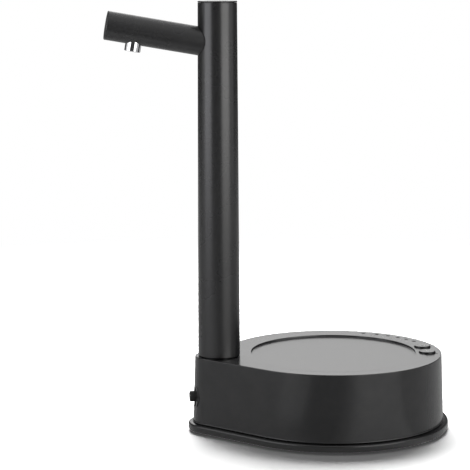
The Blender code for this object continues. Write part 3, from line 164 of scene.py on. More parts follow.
# %% Floor
over_exposed, fade_start, fade_end, floor_width = 1.9, 0.3, 0.75, 3
floor_card = new_material("matt_white_card")
tree = floor_card.node_tree
ray = add(tree, "ShaderNodeLightPath")
matt = add(tree, "ShaderNodeBsdfDiffuse", {"Color": linear("e6e6e6")})
bright = add(tree, "ShaderNodeBsdfDiffuse", {"Color": [over_exposed] * 3 + [1]})
even = add(tree, "ShaderNodeEmission", {"Color": linear("bdbdbd")})
glare = add(tree, "ShaderNodeEmission", {"Color": linear("ffffff")})
place = add(tree, "ShaderNodeTexCoord")
reach = add(tree, "ShaderNodeVectorMath", {"operation": "LENGTH"}, {0: place.outputs["Object"]})
far = add(tree, "ShaderNodeMapRange",
          {"interpolation_type": "SMOOTHSTEP", "From Min": fade_start, "From Max": fade_end},
          {"Value": reach.outputs["Value"]})
in_view = add(tree, "ShaderNodeMixShader", (),
              {0: far.outputs["Result"], 1: bright.outputs[0], 2: glare.outputs[0]})
direct = add(tree, "ShaderNodeMixShader", (),
             {0: ray.outputs["Is Camera Ray"], 1: matt.outputs[0], 2: in_view.outputs[0]})
mirrored = add(tree, "ShaderNodeMixShader", (),
               {0: ray.outputs["Is Glossy Ray"], 1: direct.outputs[0], 2: even.outputs[0]})
add(tree, "ShaderNodeOutputMaterial", (), {"Surface": mirrored.outputs[0]})
clear_selection()
bpy.ops.mesh.primitive_plane_add(size=floor_width)
floor = named("floor")
floor.data.materials.append(floor_card)
print("floor is", round(floor.dimensions.x), "m wide")

# %% [markdown]
# Black plastic has no colour to show, so its shape is drawn by what it mirrors. Two low
# soft boxes in front, left and right, put a band on each side of the post. A wide one
# far behind is what the flat deck mirrors. They are only there to be mirrored, so they
# give no light of their own to the floor. The fourth stands behind and above and does
# the opposite: it lights the floor, and the object drops its soft shadow forwards.

# %% Lamps
front_deg = -97.3


def towards(angle_deg, distance, height):
    """A place round the object: angles count from the camera's side, positive to its right."""
    angle = math.radians(angle_deg + front_deg)
    return Vector((distance * math.cos(angle), distance * math.sin(angle), height))


def soft_box(name, place, target, width, height, watts, tint=(1, 1, 1)):
    """One rectangular lamp that faces its target and stays out of the picture."""
    bpy.ops.object.light_add(type="AREA", location=place)
    lamp = named(name)
    lamp.data.shape = "RECTANGLE"
    lamp.data.size, lamp.data.size_y = width, height
    lamp.data.energy, lamp.data.color = watts, tint
    lamp.visible_camera = False
    way = Vector(target) - lamp.location
    lamp.rotation_euler = way.to_track_quat("-Z", "Y").to_euler()
    return lamp


cool, neutral, warm = (0.95, 0.95, 1.0), (1.0, 0.99, 0.97), (1.0, 0.985, 0.955)
left = soft_box("left_box", towards(-59, 1.2, 0.19), (0, 0, 0.19), 0.88, 0.34, 2.8, cool)
right = soft_box("right_box", towards(44.5, 1.2, 0.19), (0, 0, 0.19), 1.0, 0.34, 3.9, neutral)
horizon = soft_box("horizon_box", towards(180, 2.4, 1.12), (0, 0, 0.1), 2.6, 0.8, 6.0, warm)
for lamp in (left, right, horizon):
    lamp.visible_diffuse = False
back = soft_box("back_box", Vector((0.05, 0.90, 1.22)), (0, 0, 0), 1.0, 1.10, 28)
back.visible_glossy = False

# %% [markdown]
# Cards do the rest. Each glows at its own flat tone, a painted reflection. Dark ones stand
# round the table and paint shade into the walls between the bands, and pale ones lie on
# the table and paint a little light into the lower parts. Each is a line spun round the
# object, and only mirrored rays see it: it lights nothing, drops no shadow and is out of
# the picture.

# %% Cards
def card(name, start_deg, end_deg, low_edge, high_edge, tone):
    """A card curved round part of the table that glows at a flat tone, a painted reflection; each edge is
    (distance, height) in metres.
    """
    material = new_material(name + "_tone")
    # The tone is emitted, not lit: a painted reflection, dark for painted shade and pale for painted light.
    glow = add(material.node_tree, "ShaderNodeEmission", {"Color": linear(tone)})
    add(material.node_tree, "ShaderNodeOutputMaterial", (), {"Surface": glow.outputs[0]})
    piece = empty_mesh(name)
    mesh = bmesh.from_edit_mesh(piece.data)
    mesh.edges.new([mesh.verts.new(towards(start_deg, *edge)) for edge in (low_edge, high_edge)])
    bmesh.update_edit_mesh(piece.data)
    bpy.ops.mesh.select_mode(type="VERT")
    bpy.ops.mesh.select_all(action="SELECT")
    sweep = -math.radians(end_deg - start_deg)
    bpy.ops.mesh.spin(steps=12, angle=sweep, center=(0, 0, 0), axis=(0, 0, 1))
    bpy.ops.object.mode_set(mode="OBJECT")
    piece.data.materials.append(material)
    piece.visible_camera = piece.visible_diffuse = piece.visible_shadow = False
    return piece


cards = [
    card("left_flag", -168, -100, (1.5, 0.0), (1.5, 1.6), "5c5c5c"),
    card("right_flag", 100, 168, (1.5, 0.0), (1.5, 1.6), "5c5c5c"),
    card("front_flag_low", -36, 18, (2.2, 0.0), (2.2, 0.45), "404040"),
    card("front_flag_high", -36, 18, (2.2, 0.45), (2.2, 3.0), "a6a6a6"),
    card("front_floor_card", -24, 16, (0.09, 0.001), (1.2, 0.001), "9c9c9c"),
    card("left_floor_card", -46, -18, (0.12, 0.002), (0.45, 0.002), "dcdcdc"),
    card("right_floor_card", 24, 66, (0.09, 0.001), (0.8, 0.001), "e4e4e4"),
]
print("cards:", [piece.name for piece in cards])


# %% [markdown]
# ## Finishes
#
# Every finish below is built the same way. A large soft noise shifts the colour and the
# roughness a little, because no moulded or turned surface is even, and a fine noise
# gives the grain through a bump. Patterns read the object's own coordinates, and their
# scale is one over the real size, so a grain of 0.3 mm is 0.3 mm on every piece.

# %% A finish from its colours, gloss and grain
def finish(name, dark, pale, gloss, patch, grain, depth, ior=1.5, metallic=0.0, stretch=(1, 1, 1)):
    """A surface of two close colours, a range of roughness, and a grain of one size and depth."""
    noise_low, noise_high = 0.3, 0.7
    material = new_material(name)
    tree = material.node_tree
    place = add(tree, "ShaderNodeTexCoord")
    turned_place = add(tree, "ShaderNodeMapping", {"Scale": stretch}, {"Vector": place.outputs["Object"]})
    patches = add(tree, "ShaderNodeTexNoise", {"Scale": 1 / patch, "Detail": 3.0, "Roughness": 0.55},
                  {"Vector": turned_place.outputs[0]})
    grains = add(tree, "ShaderNodeTexNoise", {"Scale": 1 / grain, "Detail": 2.0, "Roughness": 0.6},
                 {"Vector": turned_place.outputs[0]})
    tint = add(tree, "ShaderNodeValToRGB", (), {"Fac": patches.outputs["Fac"]})
    for stop, place_on_ramp, colour in zip(tint.color_ramp.elements, (noise_low, noise_high), (dark, pale)):
        stop.position, stop.color = place_on_ramp, linear(colour)
    sheen = add(tree, "ShaderNodeMapRange",
                {"From Min": noise_low, "From Max": noise_high, "To Min": gloss[0], "To Max": gloss[1]},
                {"Value": patches.outputs["Fac"]})
    bump = add(tree, "ShaderNodeBump", {"Strength": 1.0, "Distance": depth},
               {"Height": grains.outputs["Fac"]})
    shader = add(tree, "ShaderNodeBsdfPrincipled", {"IOR": ior, "Metallic": metallic},
                 {"Base Color": tint.outputs["Color"], "Roughness": sheen.outputs["Result"],
                  "Normal": bump.outputs["Normal"]})
    add(tree, "ShaderNodeOutputMaterial", (), {"Surface": shader.outputs[0]})
    return material


# %% [markdown]
# The case, the post and the spout are ABS, injection moulded in black against a finely
# spark-eroded steel. To the eye it is a deep, almost neutral black with a silky shine:
# it mirrors softly when seen from the front and strongly at a flat angle. The post and
# the spout have less grain and a softer shine, and the buttons are glossy acetal.

# %% Black plastics
satin_abs = finish("satin_black_moulded_abs", "323234", "373738", (0.18, 0.22),
                   14 * mm, 0.5 * mm, 0.0009 * mm, ior=1.53)
smooth_abs = finish("smooth_black_moulded_abs", "323234", "363637", (0.26, 0.29),
                    20 * mm, 0.5 * mm, 0.0006 * mm, ior=1.53)
button_pom = finish("polished_black_acetal", "29292a", "2e2e2f", (0.12, 0.16),
                    4 * mm, 0.4 * mm, 0.0006 * mm, ior=1.48)
print("black finishes:", satin_abs.name, smooth_abs.name, button_pom.name)

# %% [markdown]
# The short nozzle is turned and polished steel. Polished metal has no colour of its own
# but the room's, so it is almost a mirror with hair-fine turning marks round it. The
# charging socket's shell is drawn from tinned sheet, which is duller. The screws and
# the motor's can are zinc plated: bluish, bright and slightly cloudy.

# %% Metals
nozzle_steel = finish("polished_turned_steel", "d6d6d8", "e2e2e4", (0.05, 0.09),
                      6 * mm, 0.4 * mm, 0.0004 * mm, metallic=1.0, stretch=(1, 1, 6))
socket_steel = finish("tinned_steel_sheet", "a9a9a8", "bcbcba", (0.26, 0.34),
                      3 * mm, 0.3 * mm, 0.001 * mm, metallic=1.0)
zinc_steel = finish("bright_zinc_plating", "9c9da0", "b4b5b8", (0.28, 0.40),
                    2 * mm, 0.2 * mm, 0.002 * mm, metallic=1.0)
print("metals:", nozzle_steel.name, socket_steel.name, zinc_steel.name)

# %% [markdown]
# The feet and the plug in the tail are black rubber. Rubber is as dark as the case but
# matt, with a slightly dusty bloom. The flow straightener inside the nozzle is grey
# nylon, and the lights look out through smoked acrylic, which is nearly black when off.
# The printed signs are a grey ink, pressed on with a soft pad, flat and without shine.

# %% Rubber, nylon, acrylic and ink
black_rubber = finish("black_moulded_rubber", "161616", "1f1f1f", (0.55, 0.68),
                      5 * mm, 0.4 * mm, 0.006 * mm, ior=1.52)
grey_nylon = finish("grey_moulded_nylon", "6f7174", "7c7e81", (0.42, 0.52),
                    3 * mm, 0.3 * mm, 0.003 * mm, ior=1.53)
smoked_acrylic = finish("smoked_polished_acrylic", "0b0b0c", "111113", (0.06, 0.10),
                        2 * mm, 0.3 * mm, 0.0003 * mm, ior=1.49)
mark_ink = finish("grey_pad_print", "9a9b9a", "a8a9a8", (0.45, 0.55),
                  1.5 * mm, 0.2 * mm, 0.001 * mm)
print("other finishes:", black_rubber.name, grey_nylon.name, smoked_acrylic.name, mark_ink.name)

# %% [markdown]
# ## Modelling helpers
#
# By hand one opens a piece, clicks the edges or faces to work on and bevels them. In a
# script the click is a test: a part is picked by where it lies. Only edges with a real
# fold are picked, so the seams between the facets of a round wall stay out of it.

# %% Pick and round
def near(value, target, slack=0.02):
    """True if a measure is at its target, in mm."""
    return abs(value - target) < slack


def pick(piece, kind, test):
    """In edit mode, selects the faces or edges whose every corner passes a test of its place in mm."""
    bpy.ops.mesh.select_mode(type=kind)
    bpy.ops.mesh.select_all(action="DESELECT")
    mesh = bmesh.from_edit_mesh(piece.data)
    sharp = [edge for edge in mesh.edges if edge.calc_face_angle(0) > math.radians(8)]
    parts = mesh.faces if kind == "FACE" else sharp
    chosen = [part for part in parts if all(test(*(corner.co / mm)) for corner in part.verts)]
    for part in chosen:
        part.select_set(True)
    mesh.select_flush_mode()
    bmesh.update_edit_mesh(piece.data)
    return len(chosen)


def edit(piece):
    """Makes one piece active and opens it in edit mode."""
    clear_selection()
    piece.select_set(True)
    bpy.context.view_layer.objects.active = piece
    bpy.ops.object.mode_set(mode="EDIT")


def round_edges(piece, test, width, segments=3):
    """Bevels the edges that pass a test of their place; the width is in mm."""
    edit(piece)
    count = pick(piece, "EDGE", test)
    bpy.ops.mesh.bevel(offset=width * mm, segments=segments, affect="EDGES", clamp_overlap=False)
    bpy.ops.object.mode_set(mode="OBJECT")
    return count


# %% [markdown]
# A round piece is grown the way a turner would describe it: a circle is added, then it
# is extruded and scaled from one ring of the profile to the next. A profile that ends
# where it began closes on itself, which makes a tube with its bore in one go.

# %% Grow a round piece
def turned(name, rings, steps=96, through=False):
    """Grows a round piece on the Z axis: each (radius, height) in mm is one extrude and one scale."""
    clear_selection()
    radius, height = rings[0]
    bpy.ops.mesh.primitive_circle_add(vertices=steps, radius=radius * mm, location=(0, 0, height * mm),
                                      fill_type="NOTHING" if through else "NGON")
    piece = named(name)
    bpy.ops.object.transform_apply()
    bpy.ops.object.mode_set(mode="EDIT")
    bpy.ops.mesh.select_mode(type="VERT")
    bpy.ops.mesh.select_all(action="SELECT")
    for new_radius, new_height in rings[1:]:
        rise = (0, 0, (new_height - height) * mm)
        bpy.ops.mesh.extrude_region_move(TRANSFORM_OT_translate={"value": rise})
        share = new_radius / radius
        bpy.ops.transform.resize(value=(share, share, 1), center_override=(0, 0, new_height * mm))
        radius, height = new_radius, new_height
    bpy.ops.mesh.select_all(action="SELECT")
    if through:
        bpy.ops.mesh.remove_doubles(threshold=0.002 * mm)
    bpy.ops.mesh.normals_make_consistent(inside=False)
    bpy.ops.object.mode_set(mode="OBJECT")
    return piece


# %% [markdown]
# Pieces are made upright at the origin, because that is the easiest place to think in.
# Then they are put where they belong, and the move is applied to the mesh. Holes and
# joined parts come from Booleans: one solid is cut with another or joined to it.

# %% Place, cut and join
def put(piece, matrix):
    """Moves a piece into a frame and applies that to its mesh, so its object stays at the origin."""
    clear_selection()
    piece.select_set(True)
    bpy.context.view_layer.objects.active = piece
    piece.matrix_world = matrix
    bpy.ops.object.transform_apply()
    return piece


def combine(piece, tool, how="DIFFERENCE"):
    """Cuts or joins another solid with a Boolean, applies it and removes the tool."""
    clear_selection()
    piece.select_set(True)
    bpy.context.view_layer.objects.active = piece
    bpy.ops.object.modifier_add(type="BOOLEAN")
    boolean = piece.modifiers[-1]
    boolean.operation, boolean.object, boolean.solver = how, tool, "EXACT"
    bpy.ops.object.modifier_apply(modifier=boolean.name)
    bpy.data.objects.remove(tool)
    return piece


def drill(piece, places, radius, low, high, steps=48, how="DIFFERENCE"):
    """Cuts, or adds, one upright round rod at each place."""
    for x, y in places:
        rod = turned("rod", [(radius, low), (radius, high)], steps)
        combine(piece, put(rod, Matrix.Translation((x * mm, y * mm, 0))), how)
    return piece


# %% [markdown]
# The last step is the same for every piece. Soft faces are shaded smooth and folds stay
# crisp, and weighted normals keep the big faces flat beside their small bevels. Then
# the piece gets its finish and hangs under the empty of the body that carries it, and
# the CAD nodes it stands for are hidden.

# %% Hand over a finished piece
def hand_over(piece, body, material, *nodes, slot=None, angle=32):
    """Smooths a finished piece, gives it its finish, hangs it under its body's empty, and hides the CAD
    nodes it stands for.
    """
    clear_selection()
    piece.select_set(True)
    bpy.context.view_layer.objects.active = piece
    bpy.ops.object.shade_smooth_by_angle(angle=math.radians(angle))
    bpy.ops.object.modifier_add(type="WEIGHTED_NORMAL")
    weighted = piece.modifiers[-1]
    weighted.keep_sharp = True
    bpy.ops.object.modifier_apply(modifier=weighted.name)
    piece.data.materials.clear()
    piece.data.materials.append(material)
    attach(piece, body)
    if nodes:
        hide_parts(*nodes)
    print(piece.name, "in mm:", [round(side / mm, 1) for side in piece.dimensions],
          len(piece.data.polygons), "faces")
    return piece


# %% [markdown]
# ## The housing
#
# The base is a teardrop: a round end that holds the works, and a small tail for
# the post, joined by straight flanks. Its outline is two arcs. When the outline is
# extruded upwards, each arc is scaled about its own centre, and that keeps the wall at
# the same distance all round. So the wall gets the slight slope, the draft, that lets
# the real shell slide out of its mould.

# %% Teardrop solids
round_x, post_x, waist_x = 32.141, -34.359, -30.0
deck_radius, tail_radius, flank_deg = 62.5, 13.8, 137.083
deck_z, wall_z, draft = 44.3, 6.2, 1.2
flank_share, hair = math.cos(math.radians(flank_deg)), 0.01


def choose(piece, test):
    """In edit mode, selects the corners that pass a test."""
    bpy.ops.mesh.select_mode(type="VERT")
    mesh = bmesh.from_edit_mesh(piece.data)
    for corner in mesh.verts:
        corner.select_set(test(corner))
    mesh.select_flush_mode()
    bmesh.update_edit_mesh(piece.data)


def choose_at(piece, test):
    """In edit mode, selects the corners whose place in mm passes a test."""
    choose(piece, lambda corner: bool(test(*(corner.co / mm))))


def teardrop(name, rings):
    """Grows a solid from the base's outline: each ring is (offset outwards, height) in mm."""
    offset, level = rings[0]
    clear_selection()
    bpy.ops.mesh.primitive_circle_add(vertices=288, radius=(deck_radius + offset) * mm,
                                      location=(round_x * mm, 0, level * mm))
    piece = named(name)
    bpy.ops.object.transform_apply()
    bpy.ops.object.mode_set(mode="EDIT")
    round_end = round_x + flank_share * (deck_radius + offset)
    choose_at(piece, lambda x, y, z: x < round_end - hair)
    bpy.ops.mesh.delete(type="VERT")
    bpy.ops.mesh.primitive_circle_add(vertices=160, radius=(tail_radius + offset) * mm,
                                      location=(post_x * mm, 0, level * mm))
    tail_end = post_x + flank_share * (tail_radius + offset)
    tail_reach = tail_radius + offset + hair
    choose_at(piece, lambda x, y, z: x > tail_end + hair and math.hypot(x - post_x, y) < tail_reach)
    bpy.ops.mesh.delete(type="VERT")
    across = [corner.co.x / mm for corner in bmesh.from_edit_mesh(piece.data).verts]
    arc_ends = min(x for x in across if x > waist_x), max(x for x in across if x <= waist_x)
    for side in (1, -1):
        choose_at(piece, lambda x, y, z: y * side > 0 and any(near(x, end, hair) for end in arc_ends))
        bpy.ops.mesh.edge_face_add()
    bpy.ops.mesh.select_all(action="SELECT")
    bpy.ops.mesh.edge_face_add()
    for new_offset, new_level in rings[1:]:
        rise = (0, 0, (new_level - level) * mm)
        bpy.ops.mesh.extrude_region_move(TRANSFORM_OT_translate={"value": rise})
        top = {corner.index for corner in bmesh.from_edit_mesh(piece.data).verts if corner.select}
        for centre, radius, side in ((round_x, deck_radius, 1), (post_x, tail_radius, -1)):
            choose(piece, lambda corner: corner.index in top and (corner.co.x / mm - waist_x) * side > 0)
            share = (radius + new_offset) / (radius + offset)
            middle = (centre * mm, 0, new_level * mm)
            bpy.ops.transform.resize(value=(share, share, 1), center_override=middle)
        choose(piece, lambda corner: corner.index in top)
        bpy.ops.mesh.select_mode(type="FACE")
        offset, level = new_offset, new_level
    bpy.ops.mesh.select_all(action="SELECT")
    bpy.ops.mesh.normals_make_consistent(inside=False)
    bpy.ops.object.mode_set(mode="OBJECT")
    return piece


lip, lip_top, border = draft + 0.39, wall_z + 0.7, deck_z - 0.17
housing = teardrop("upper_housing_shell", [
    (lip, wall_z), (lip, lip_top), (draft - 0.02, lip_top), (0, border)])
print("housing outline:", len(housing.data.vertices), "corners", len(housing.data.polygons), "faces")

# %% [markdown]
# A second, smaller teardrop hollows the housing and leaves a wall of two millimetres.
# Under the deck stay the bosses that the real shell has: a cup for the post's bush,
# sleeves for the screws, and a pan under the round recess.

# %% Hollow, bosses and holes
combine(housing, teardrop("hollow", [(draft - 1.94, wall_z - 2), (0.07 - 2.0, deck_z - 2.2)]))
case_screws = [(41.344, 52.195), (57.023, -46.796), (-19.859, 17.0), (-19.859, -17.0)]


def polar(reach, angle_deg):
    """A place on the deck, from the centre of its round end."""
    return round_x + reach * math.cos(math.radians(angle_deg)), reach * math.sin(math.radians(angle_deg))


board_screws, recess, recess_radius = [polar(51.0, -19.5), polar(51.0, 66.5)], 1.1, 47.5
bush_radius = 11.5
drill(housing, [(round_x, 0)], 48.4, 41.1, 43.0, 160, "UNION")
drill(housing, [(post_x, 0)], 12.4, 31.7, 43.0, 96, "UNION")
drill(housing, case_screws, 3.4, 9.8, 43.0, 32, "UNION")
drill(housing, board_screws, 2.6, 34.4, 43.0, 32, "UNION")
drill(housing, case_screws, 1.65, 0, 19.0, 24)
drill(housing, board_screws, 1.5, 32.0, 40.0, 24)
drill(housing, [(post_x, 0)], 10.6, 30.0, deck_z + 1, 96)
drill(housing, [(post_x, 0)], bush_radius, deck_z - 1.2, deck_z + 1, 128)
print("housing after its bosses:", len(housing.data.polygons), "faces")

# %% [markdown]
# The deck carries the controls. Two holes take the buttons, and six small windows and a
# pin hole take the lights. The round recess is cut as a flat disc. The border outside
# it lies a fifth of a millimetre lower than the rest, too little to feel and just
# enough to change the shine at a flat angle.

# %% Deck details
buttons = {"power_button": polar(54.2, 5.5), "volume_button": polar(54.2, -11.2)}
light_angles = (22.7, 30.0, 37.0, 44.4, 52.1, 60.9)
light_reach = 57.2
lights = [polar(light_reach, angle) for angle in light_angles]
charge_light = polar(59.5, -13.9)
step_radius = 53.3
raised = turned("raised_disc", [
    (step_radius + 1.2, border - 0.6), (step_radius + 1.2, border), (step_radius, deck_z)], 288)
combine(housing, put(raised, Matrix.Translation((round_x * mm, 0, 0))), "UNION")
drill(housing, [(round_x, 0)], recess_radius, deck_z - recess, deck_z + 1, 288)
drill(housing, buttons.values(), 5.0, 40.0, deck_z + 1, 64)
drill(housing, lights, 1.2, 40.0, deck_z + 1, 32)
drill(housing, [charge_light], 0.75, 40.0, deck_z + 1, 24)


def lathe_frame(x, y, z, lean_deg=0.0, about="Y"):
    """A frame at a place in mm, leaned about one axis."""
    return Matrix.Translation((x * mm, y * mm, z * mm)) @ Matrix.Rotation(math.radians(lean_deg), 4, about)


plug_z, spot_radius, spot_x = 20.5, 5.9, -47.8
tail_way = lathe_frame(-45.059, 0, plug_z, -90)
combine(housing, put(turned("pad", [(7.5, 0), (7.5, 3.2)], 64), tail_way), "UNION")
combine(housing, put(turned("spot", [(spot_radius, 2.4), (spot_radius, 14)], 96), tail_way))
combine(housing, put(turned("plug_hole", [(3.4, -3), (3.4, 14)], 64), tail_way))
print("housing with its deck details:", len(housing.data.polygons), "faces")

# %% [markdown]
# The charging socket sits in the far flank, behind a mouth with rounded corners. A cube
# with its four long edges bevelled is the quickest rounded bar, and it serves as the
# cutter for the mouth and, later, as the socket's own shell.

# %% Socket mouth
flank_way = lathe_frame(-19.077, 36.701, 16.5) @ Matrix.Rotation(math.radians(flank_deg), 4, "Z")


def rounded_bar(name, low, high, half_width, half_height, corner):
    """A bar along X with rounded long edges, sizes in mm."""
    clear_selection()
    middle = (low + high) / 2 * mm
    bpy.ops.mesh.primitive_cube_add(size=1, location=(middle, 0, 0))
    bar = named(name)
    bar.scale = ((high - low) * mm, 2 * half_width * mm, 2 * half_height * mm)
    bpy.ops.object.transform_apply()
    edit(bar)
    bpy.ops.mesh.select_mode(type="EDGE")
    bpy.ops.mesh.select_all(action="DESELECT")
    mesh = bmesh.from_edit_mesh(bar.data)
    for edge in mesh.edges:
        edge.select_set(abs(edge.verts[0].co.x - edge.verts[1].co.x) > 0.1 * mm)
    bmesh.update_edit_mesh(bar.data)
    bpy.ops.mesh.bevel(offset=corner * mm, segments=8, affect="EDGES", clamp_overlap=False)
    bpy.ops.object.mode_set(mode="OBJECT")
    return bar


combine(housing, put(rounded_bar("mouth", -4.0, 3.0, 4.77, 1.93, 1.65), flank_way))
print("housing with its socket mouth:", len(housing.data.polygons), "faces")

# %% [markdown]
# Moulded plastic has no sharp edges, and in black plastic the rounding of an edge is
# what draws it. Each rim is found by its height and its distance from an axis, and gets
# its own width: wide and soft in the recess, fine at the seat of the post.

# %% Rounded edges of the housing
def from_round(x, y):
    """Distance from the centre of the round end."""
    return math.hypot(x - round_x, y)


def from_post(x, y):
    """Distance from the post's axis."""
    return math.hypot(x - post_x, y)


def outline(x, y, offset, slack=0.1):
    """True on the teardrop's outline, moved outwards by an offset."""
    return (near(from_round(x, y), deck_radius + offset, slack)
            or near(from_post(x, y), tail_radius + offset, slack))


rims = {
    "deck edge": (lambda x, y, z: near(z, border) and outline(x, y, 0), 0.4, 4),
    "recess rim": (lambda x, y, z: near(z, deck_z) and near(from_round(x, y), recess_radius), 0.2, 3),
    "recess floor": (
        lambda x, y, z: near(z, deck_z - recess) and near(from_round(x, y), recess_radius), 0.8, 6),
    "bush seat": (lambda x, y, z: near(z, border) and near(from_post(x, y), bush_radius), 0.12, 2),
    "lip": (lambda x, y, z: near(z, lip_top) and outline(x, y, lip), 0.36, 4),
    "tail seat": (
        lambda x, y, z: near(math.hypot(y, z - plug_z), spot_radius) and x < spot_x, 0.15, 2),
}
for name, (test, width, segments) in rims.items():
    print(name, "has", round_edges(housing, test, width, segments), "edges to round")
hand_over(housing, "base", satin_abs, "upper_housing", slot="black_abs")

# %% [markdown]
# ## The base plate
#
# The plate closes the case from below, and its rounded flange stands four millimetres
# proud of the wall. It starts as a slab of the same outline. Its rim fits inside the
# housing, and from below it shows four seats for the feet and four screw holes.

# %% Base plate
flange, plate_z, flange_z = 4.1, 1.5, 5.35
plate = teardrop("base_plate_shell", [
    (flange, plate_z), (flange, flange_z), (1.3, 5.9), (-2.3, 5.9), (-2.3, 9.4), (-3.7, 9.4), (-3.7, 3.5)])
feet = [(70.141, 33.0), (70.141, -33.0), (-5.859, 33.0), (-5.859, -33.0)]
clamps = [(49.141, 7.1), (49.141, -30.1)]
drill(plate, case_screws, 3.4, 2.6, 9.5, 48, "UNION")
drill(plate, clamps, 2.8, 2.6, 13.2, 32, "UNION")
drill(plate, case_screws, 1.65, 0, 12.0, 24)
drill(plate, case_screws, 2.9, 0, 5.5, 48)
drill(plate, clamps, 1.65, 6.4, 15.0, 24)
drill(plate, feet, 5.3, 0, 2.1, 64)
print("plate before its edges:", len(plate.data.polygons), "faces")

# %% [markdown]
# The motor rests in a cradle on the plate, and two short posts carry the socket's board.
# The flange's upper and lower edges are rounded last, because they catch the two thin
# lines of light that run round the foot of the case.

# %% Cradle, socket posts and flange edges
clear_selection()
motor_y, motor_z = -11.5, 19.5
bpy.ops.mesh.primitive_cube_add(size=1, location=(49.141 * mm, motor_y * mm, 9.05 * mm))
cradle = named("cradle")
cradle.scale = (10 * mm, 22 * mm, 12.9 * mm)
bpy.ops.object.transform_apply()
seat = turned("seat", [(14.2, 30.0), (14.2, 50.0)], 64)
combine(cradle, put(seat, lathe_frame(8.141, motor_y, motor_z, 90)))
combine(plate, cradle, "UNION")
for side in (1, -1):
    post = turned("socket_post", [(2.0, 2.6 - 16.5), (2.0, -3.23)], 32)
    combine(plate, put(post, flank_way @ Matrix.Translation((-8.8 * mm, side * 4.5 * mm, 0))), "UNION")
for height, width, segments in ((plate_z, 0.5, 4), (flange_z, 0.7, 5)):
    count = round_edges(plate, lambda x, y, z: near(z, height) and outline(x, y, flange), width, segments)
    print("flange edge at", height, "mm has", count, "edges to round")
hand_over(plate, "base", satin_abs, "base_plate", slot="black_abs")

# %% [markdown]
# A foot is a disc of rubber stuck in its seat. Its lower edge is moulded round, and the
# face that touches the table is slightly hollow so that it grips. One foot is modelled,
# and the other three are copies, each with its own mesh.

# %% Rubber feet
def copies(piece, places, names):
    """Copies a piece made on the Z axis to each place, and removes the first one."""
    made = []
    for (x, y), name in zip(places, names):
        clear_selection()
        piece.select_set(True)
        bpy.context.view_layer.objects.active = piece
        bpy.ops.object.duplicate(linked=False)
        twin = named(name)
        made.append(put(twin, Matrix.Translation((x * mm, y * mm, 0))))
    bpy.data.objects.remove(piece)
    return made


foot = turned("foot", [(3.4, 0.25), (3.9, 0.0), (4.6, 0.0), (4.9, 0.1), (5.0, 0.4), (5.0, 1.8)], 72)
for number, piece in enumerate(copies(foot, feet, [f"rubber_foot_pad_{n}" for n in (1, 2, 3, 4)]), 1):
    hand_over(piece, "base", black_rubber, f"rubber_foot_{number}", slot="black_rubber")

# %% [markdown]
# ## The post
#
# The post is a slightly tapered tube that turns in a bush in the tail, so the spout can
# swing round. A neck with a groove goes down through the bush, where a clip holds it.
# The whole profile, inside and out, is grown ring by ring and closed on itself.

# %% Post
post_way = lathe_frame(post_x, 0, 0)
tube = turned("post_column", [
    (9.25, 245.2), (10.98, 245.2), (11.05, 245.1), (12.0, 44.9), (11.85, 44.6), (8.5, 44.6),
    (8.5, 37.7), (7.5, 37.7), (7.5, 36.2), (8.5, 36.2), (8.5, 35.0), (6.4, 35.0),
    (6.4, 46.6), (10.2, 48.6), (9.25, 245.2)], 144, through=True)
put(tube, post_way)
spout_z, lean = 222.1, -80.0
spout_way = lathe_frame(post_x, 0, spout_z, lean)
combine(tube, put(turned("spout_hole", [(6.9, 0), (6.9, 32)], 96), spout_way))
hand_over(tube, "post", smooth_abs, "post_tube", slot="black_abs")

# %% [markdown]
# A thin disc closes the post, with a fine seam below it. Its collar goes down into the
# tube, and its underside is hollowed with one inset, as a moulded cap is to save
# plastic. A hair of play keeps it clear of the tube.

# %% Post cap
cap_low = 240.9
cap = turned("post_top", [
    (7.75, cap_low), (8.95, cap_low), (8.95, 245.4), (10.98, 245.4), (11.05, 245.45), (11.05, 245.95),
    (10.98, 246.12), (10.8, 246.2), (7.9, 246.2), (7.7, 246.12), (2.0, 246.10)], 144)
edit(cap)
pick(cap, "FACE", lambda x, y, z: near(z, cap_low) and math.hypot(x, y) < 7.8)
bpy.ops.mesh.inset(thickness=0.02 * mm, depth=-3.7 * mm)
bpy.ops.object.mode_set(mode="OBJECT")
put(cap, post_way)
hand_over(cap, "post", smooth_abs, "post_cap", slot="black_abs")

# %% [markdown]
# ## The spout
#
# The spout leans up by ten degrees and meets the post in a saddle, the curve where one
# tube runs into another. It is grown along its own axis, cut with the post's outer
# shape grown by the small gap between the two, and its spigot passes into the post. Both
# of these are turned by half a side, so that their corners don't fall almost on the
# barrel's own. Corners that nearly meet leave slivers in the mesh.

# %% Spout and end cap
sides, saddle_sides = 128, 144
half_side = Matrix.Rotation(math.radians(180 / sides), 4, "Z")
half_saddle_side = Matrix.Rotation(math.radians(180 / saddle_sides), 4, "Z")
spout = turned("spout_barrel", [
    (6.3, 6.2), (8.1, 6.2), (8.1, 63.2), (7.8, 63.5), (6.4, 63.5), (6.3, 63.4),
    (6.3, 6.2)], sides, through=True)
put(spout, spout_way)
saddle = turned("saddle", [(12.31, 40), (11.34, 250)], saddle_sides)
combine(spout, put(saddle, post_way @ half_saddle_side))
spigot = turned("spigot", [
    (5.4, 6.2), (6.6, 6.2), (6.6, 17.0), (5.4, 17.0), (5.4, 6.2)], sides, through=True)
combine(spout, put(spigot, spout_way @ half_side), "UNION")
nozzle_out = Matrix.Translation((0, 0, 46.6 * mm))
nozzle_way = spout_way @ nozzle_out @ Matrix.Rotation(math.radians(-90), 4, "Y")
combine(spout, put(turned("nozzle_hole", [(4.85, 1.8), (4.85, 12)], 72), nozzle_way))
hand_over(spout, "post", smooth_abs, "spout_tube", slot="black_abs")
end = turned("spout_end", [
    (4.8, 62.3), (4.8, 59.5), (6.0, 59.5), (6.0, 63.35), (5.9, 63.5), (2.0, 63.5)], 96)
put(end, spout_way)
hand_over(end, "post", smooth_abs, "spout_end_cap", slot="black_abs")

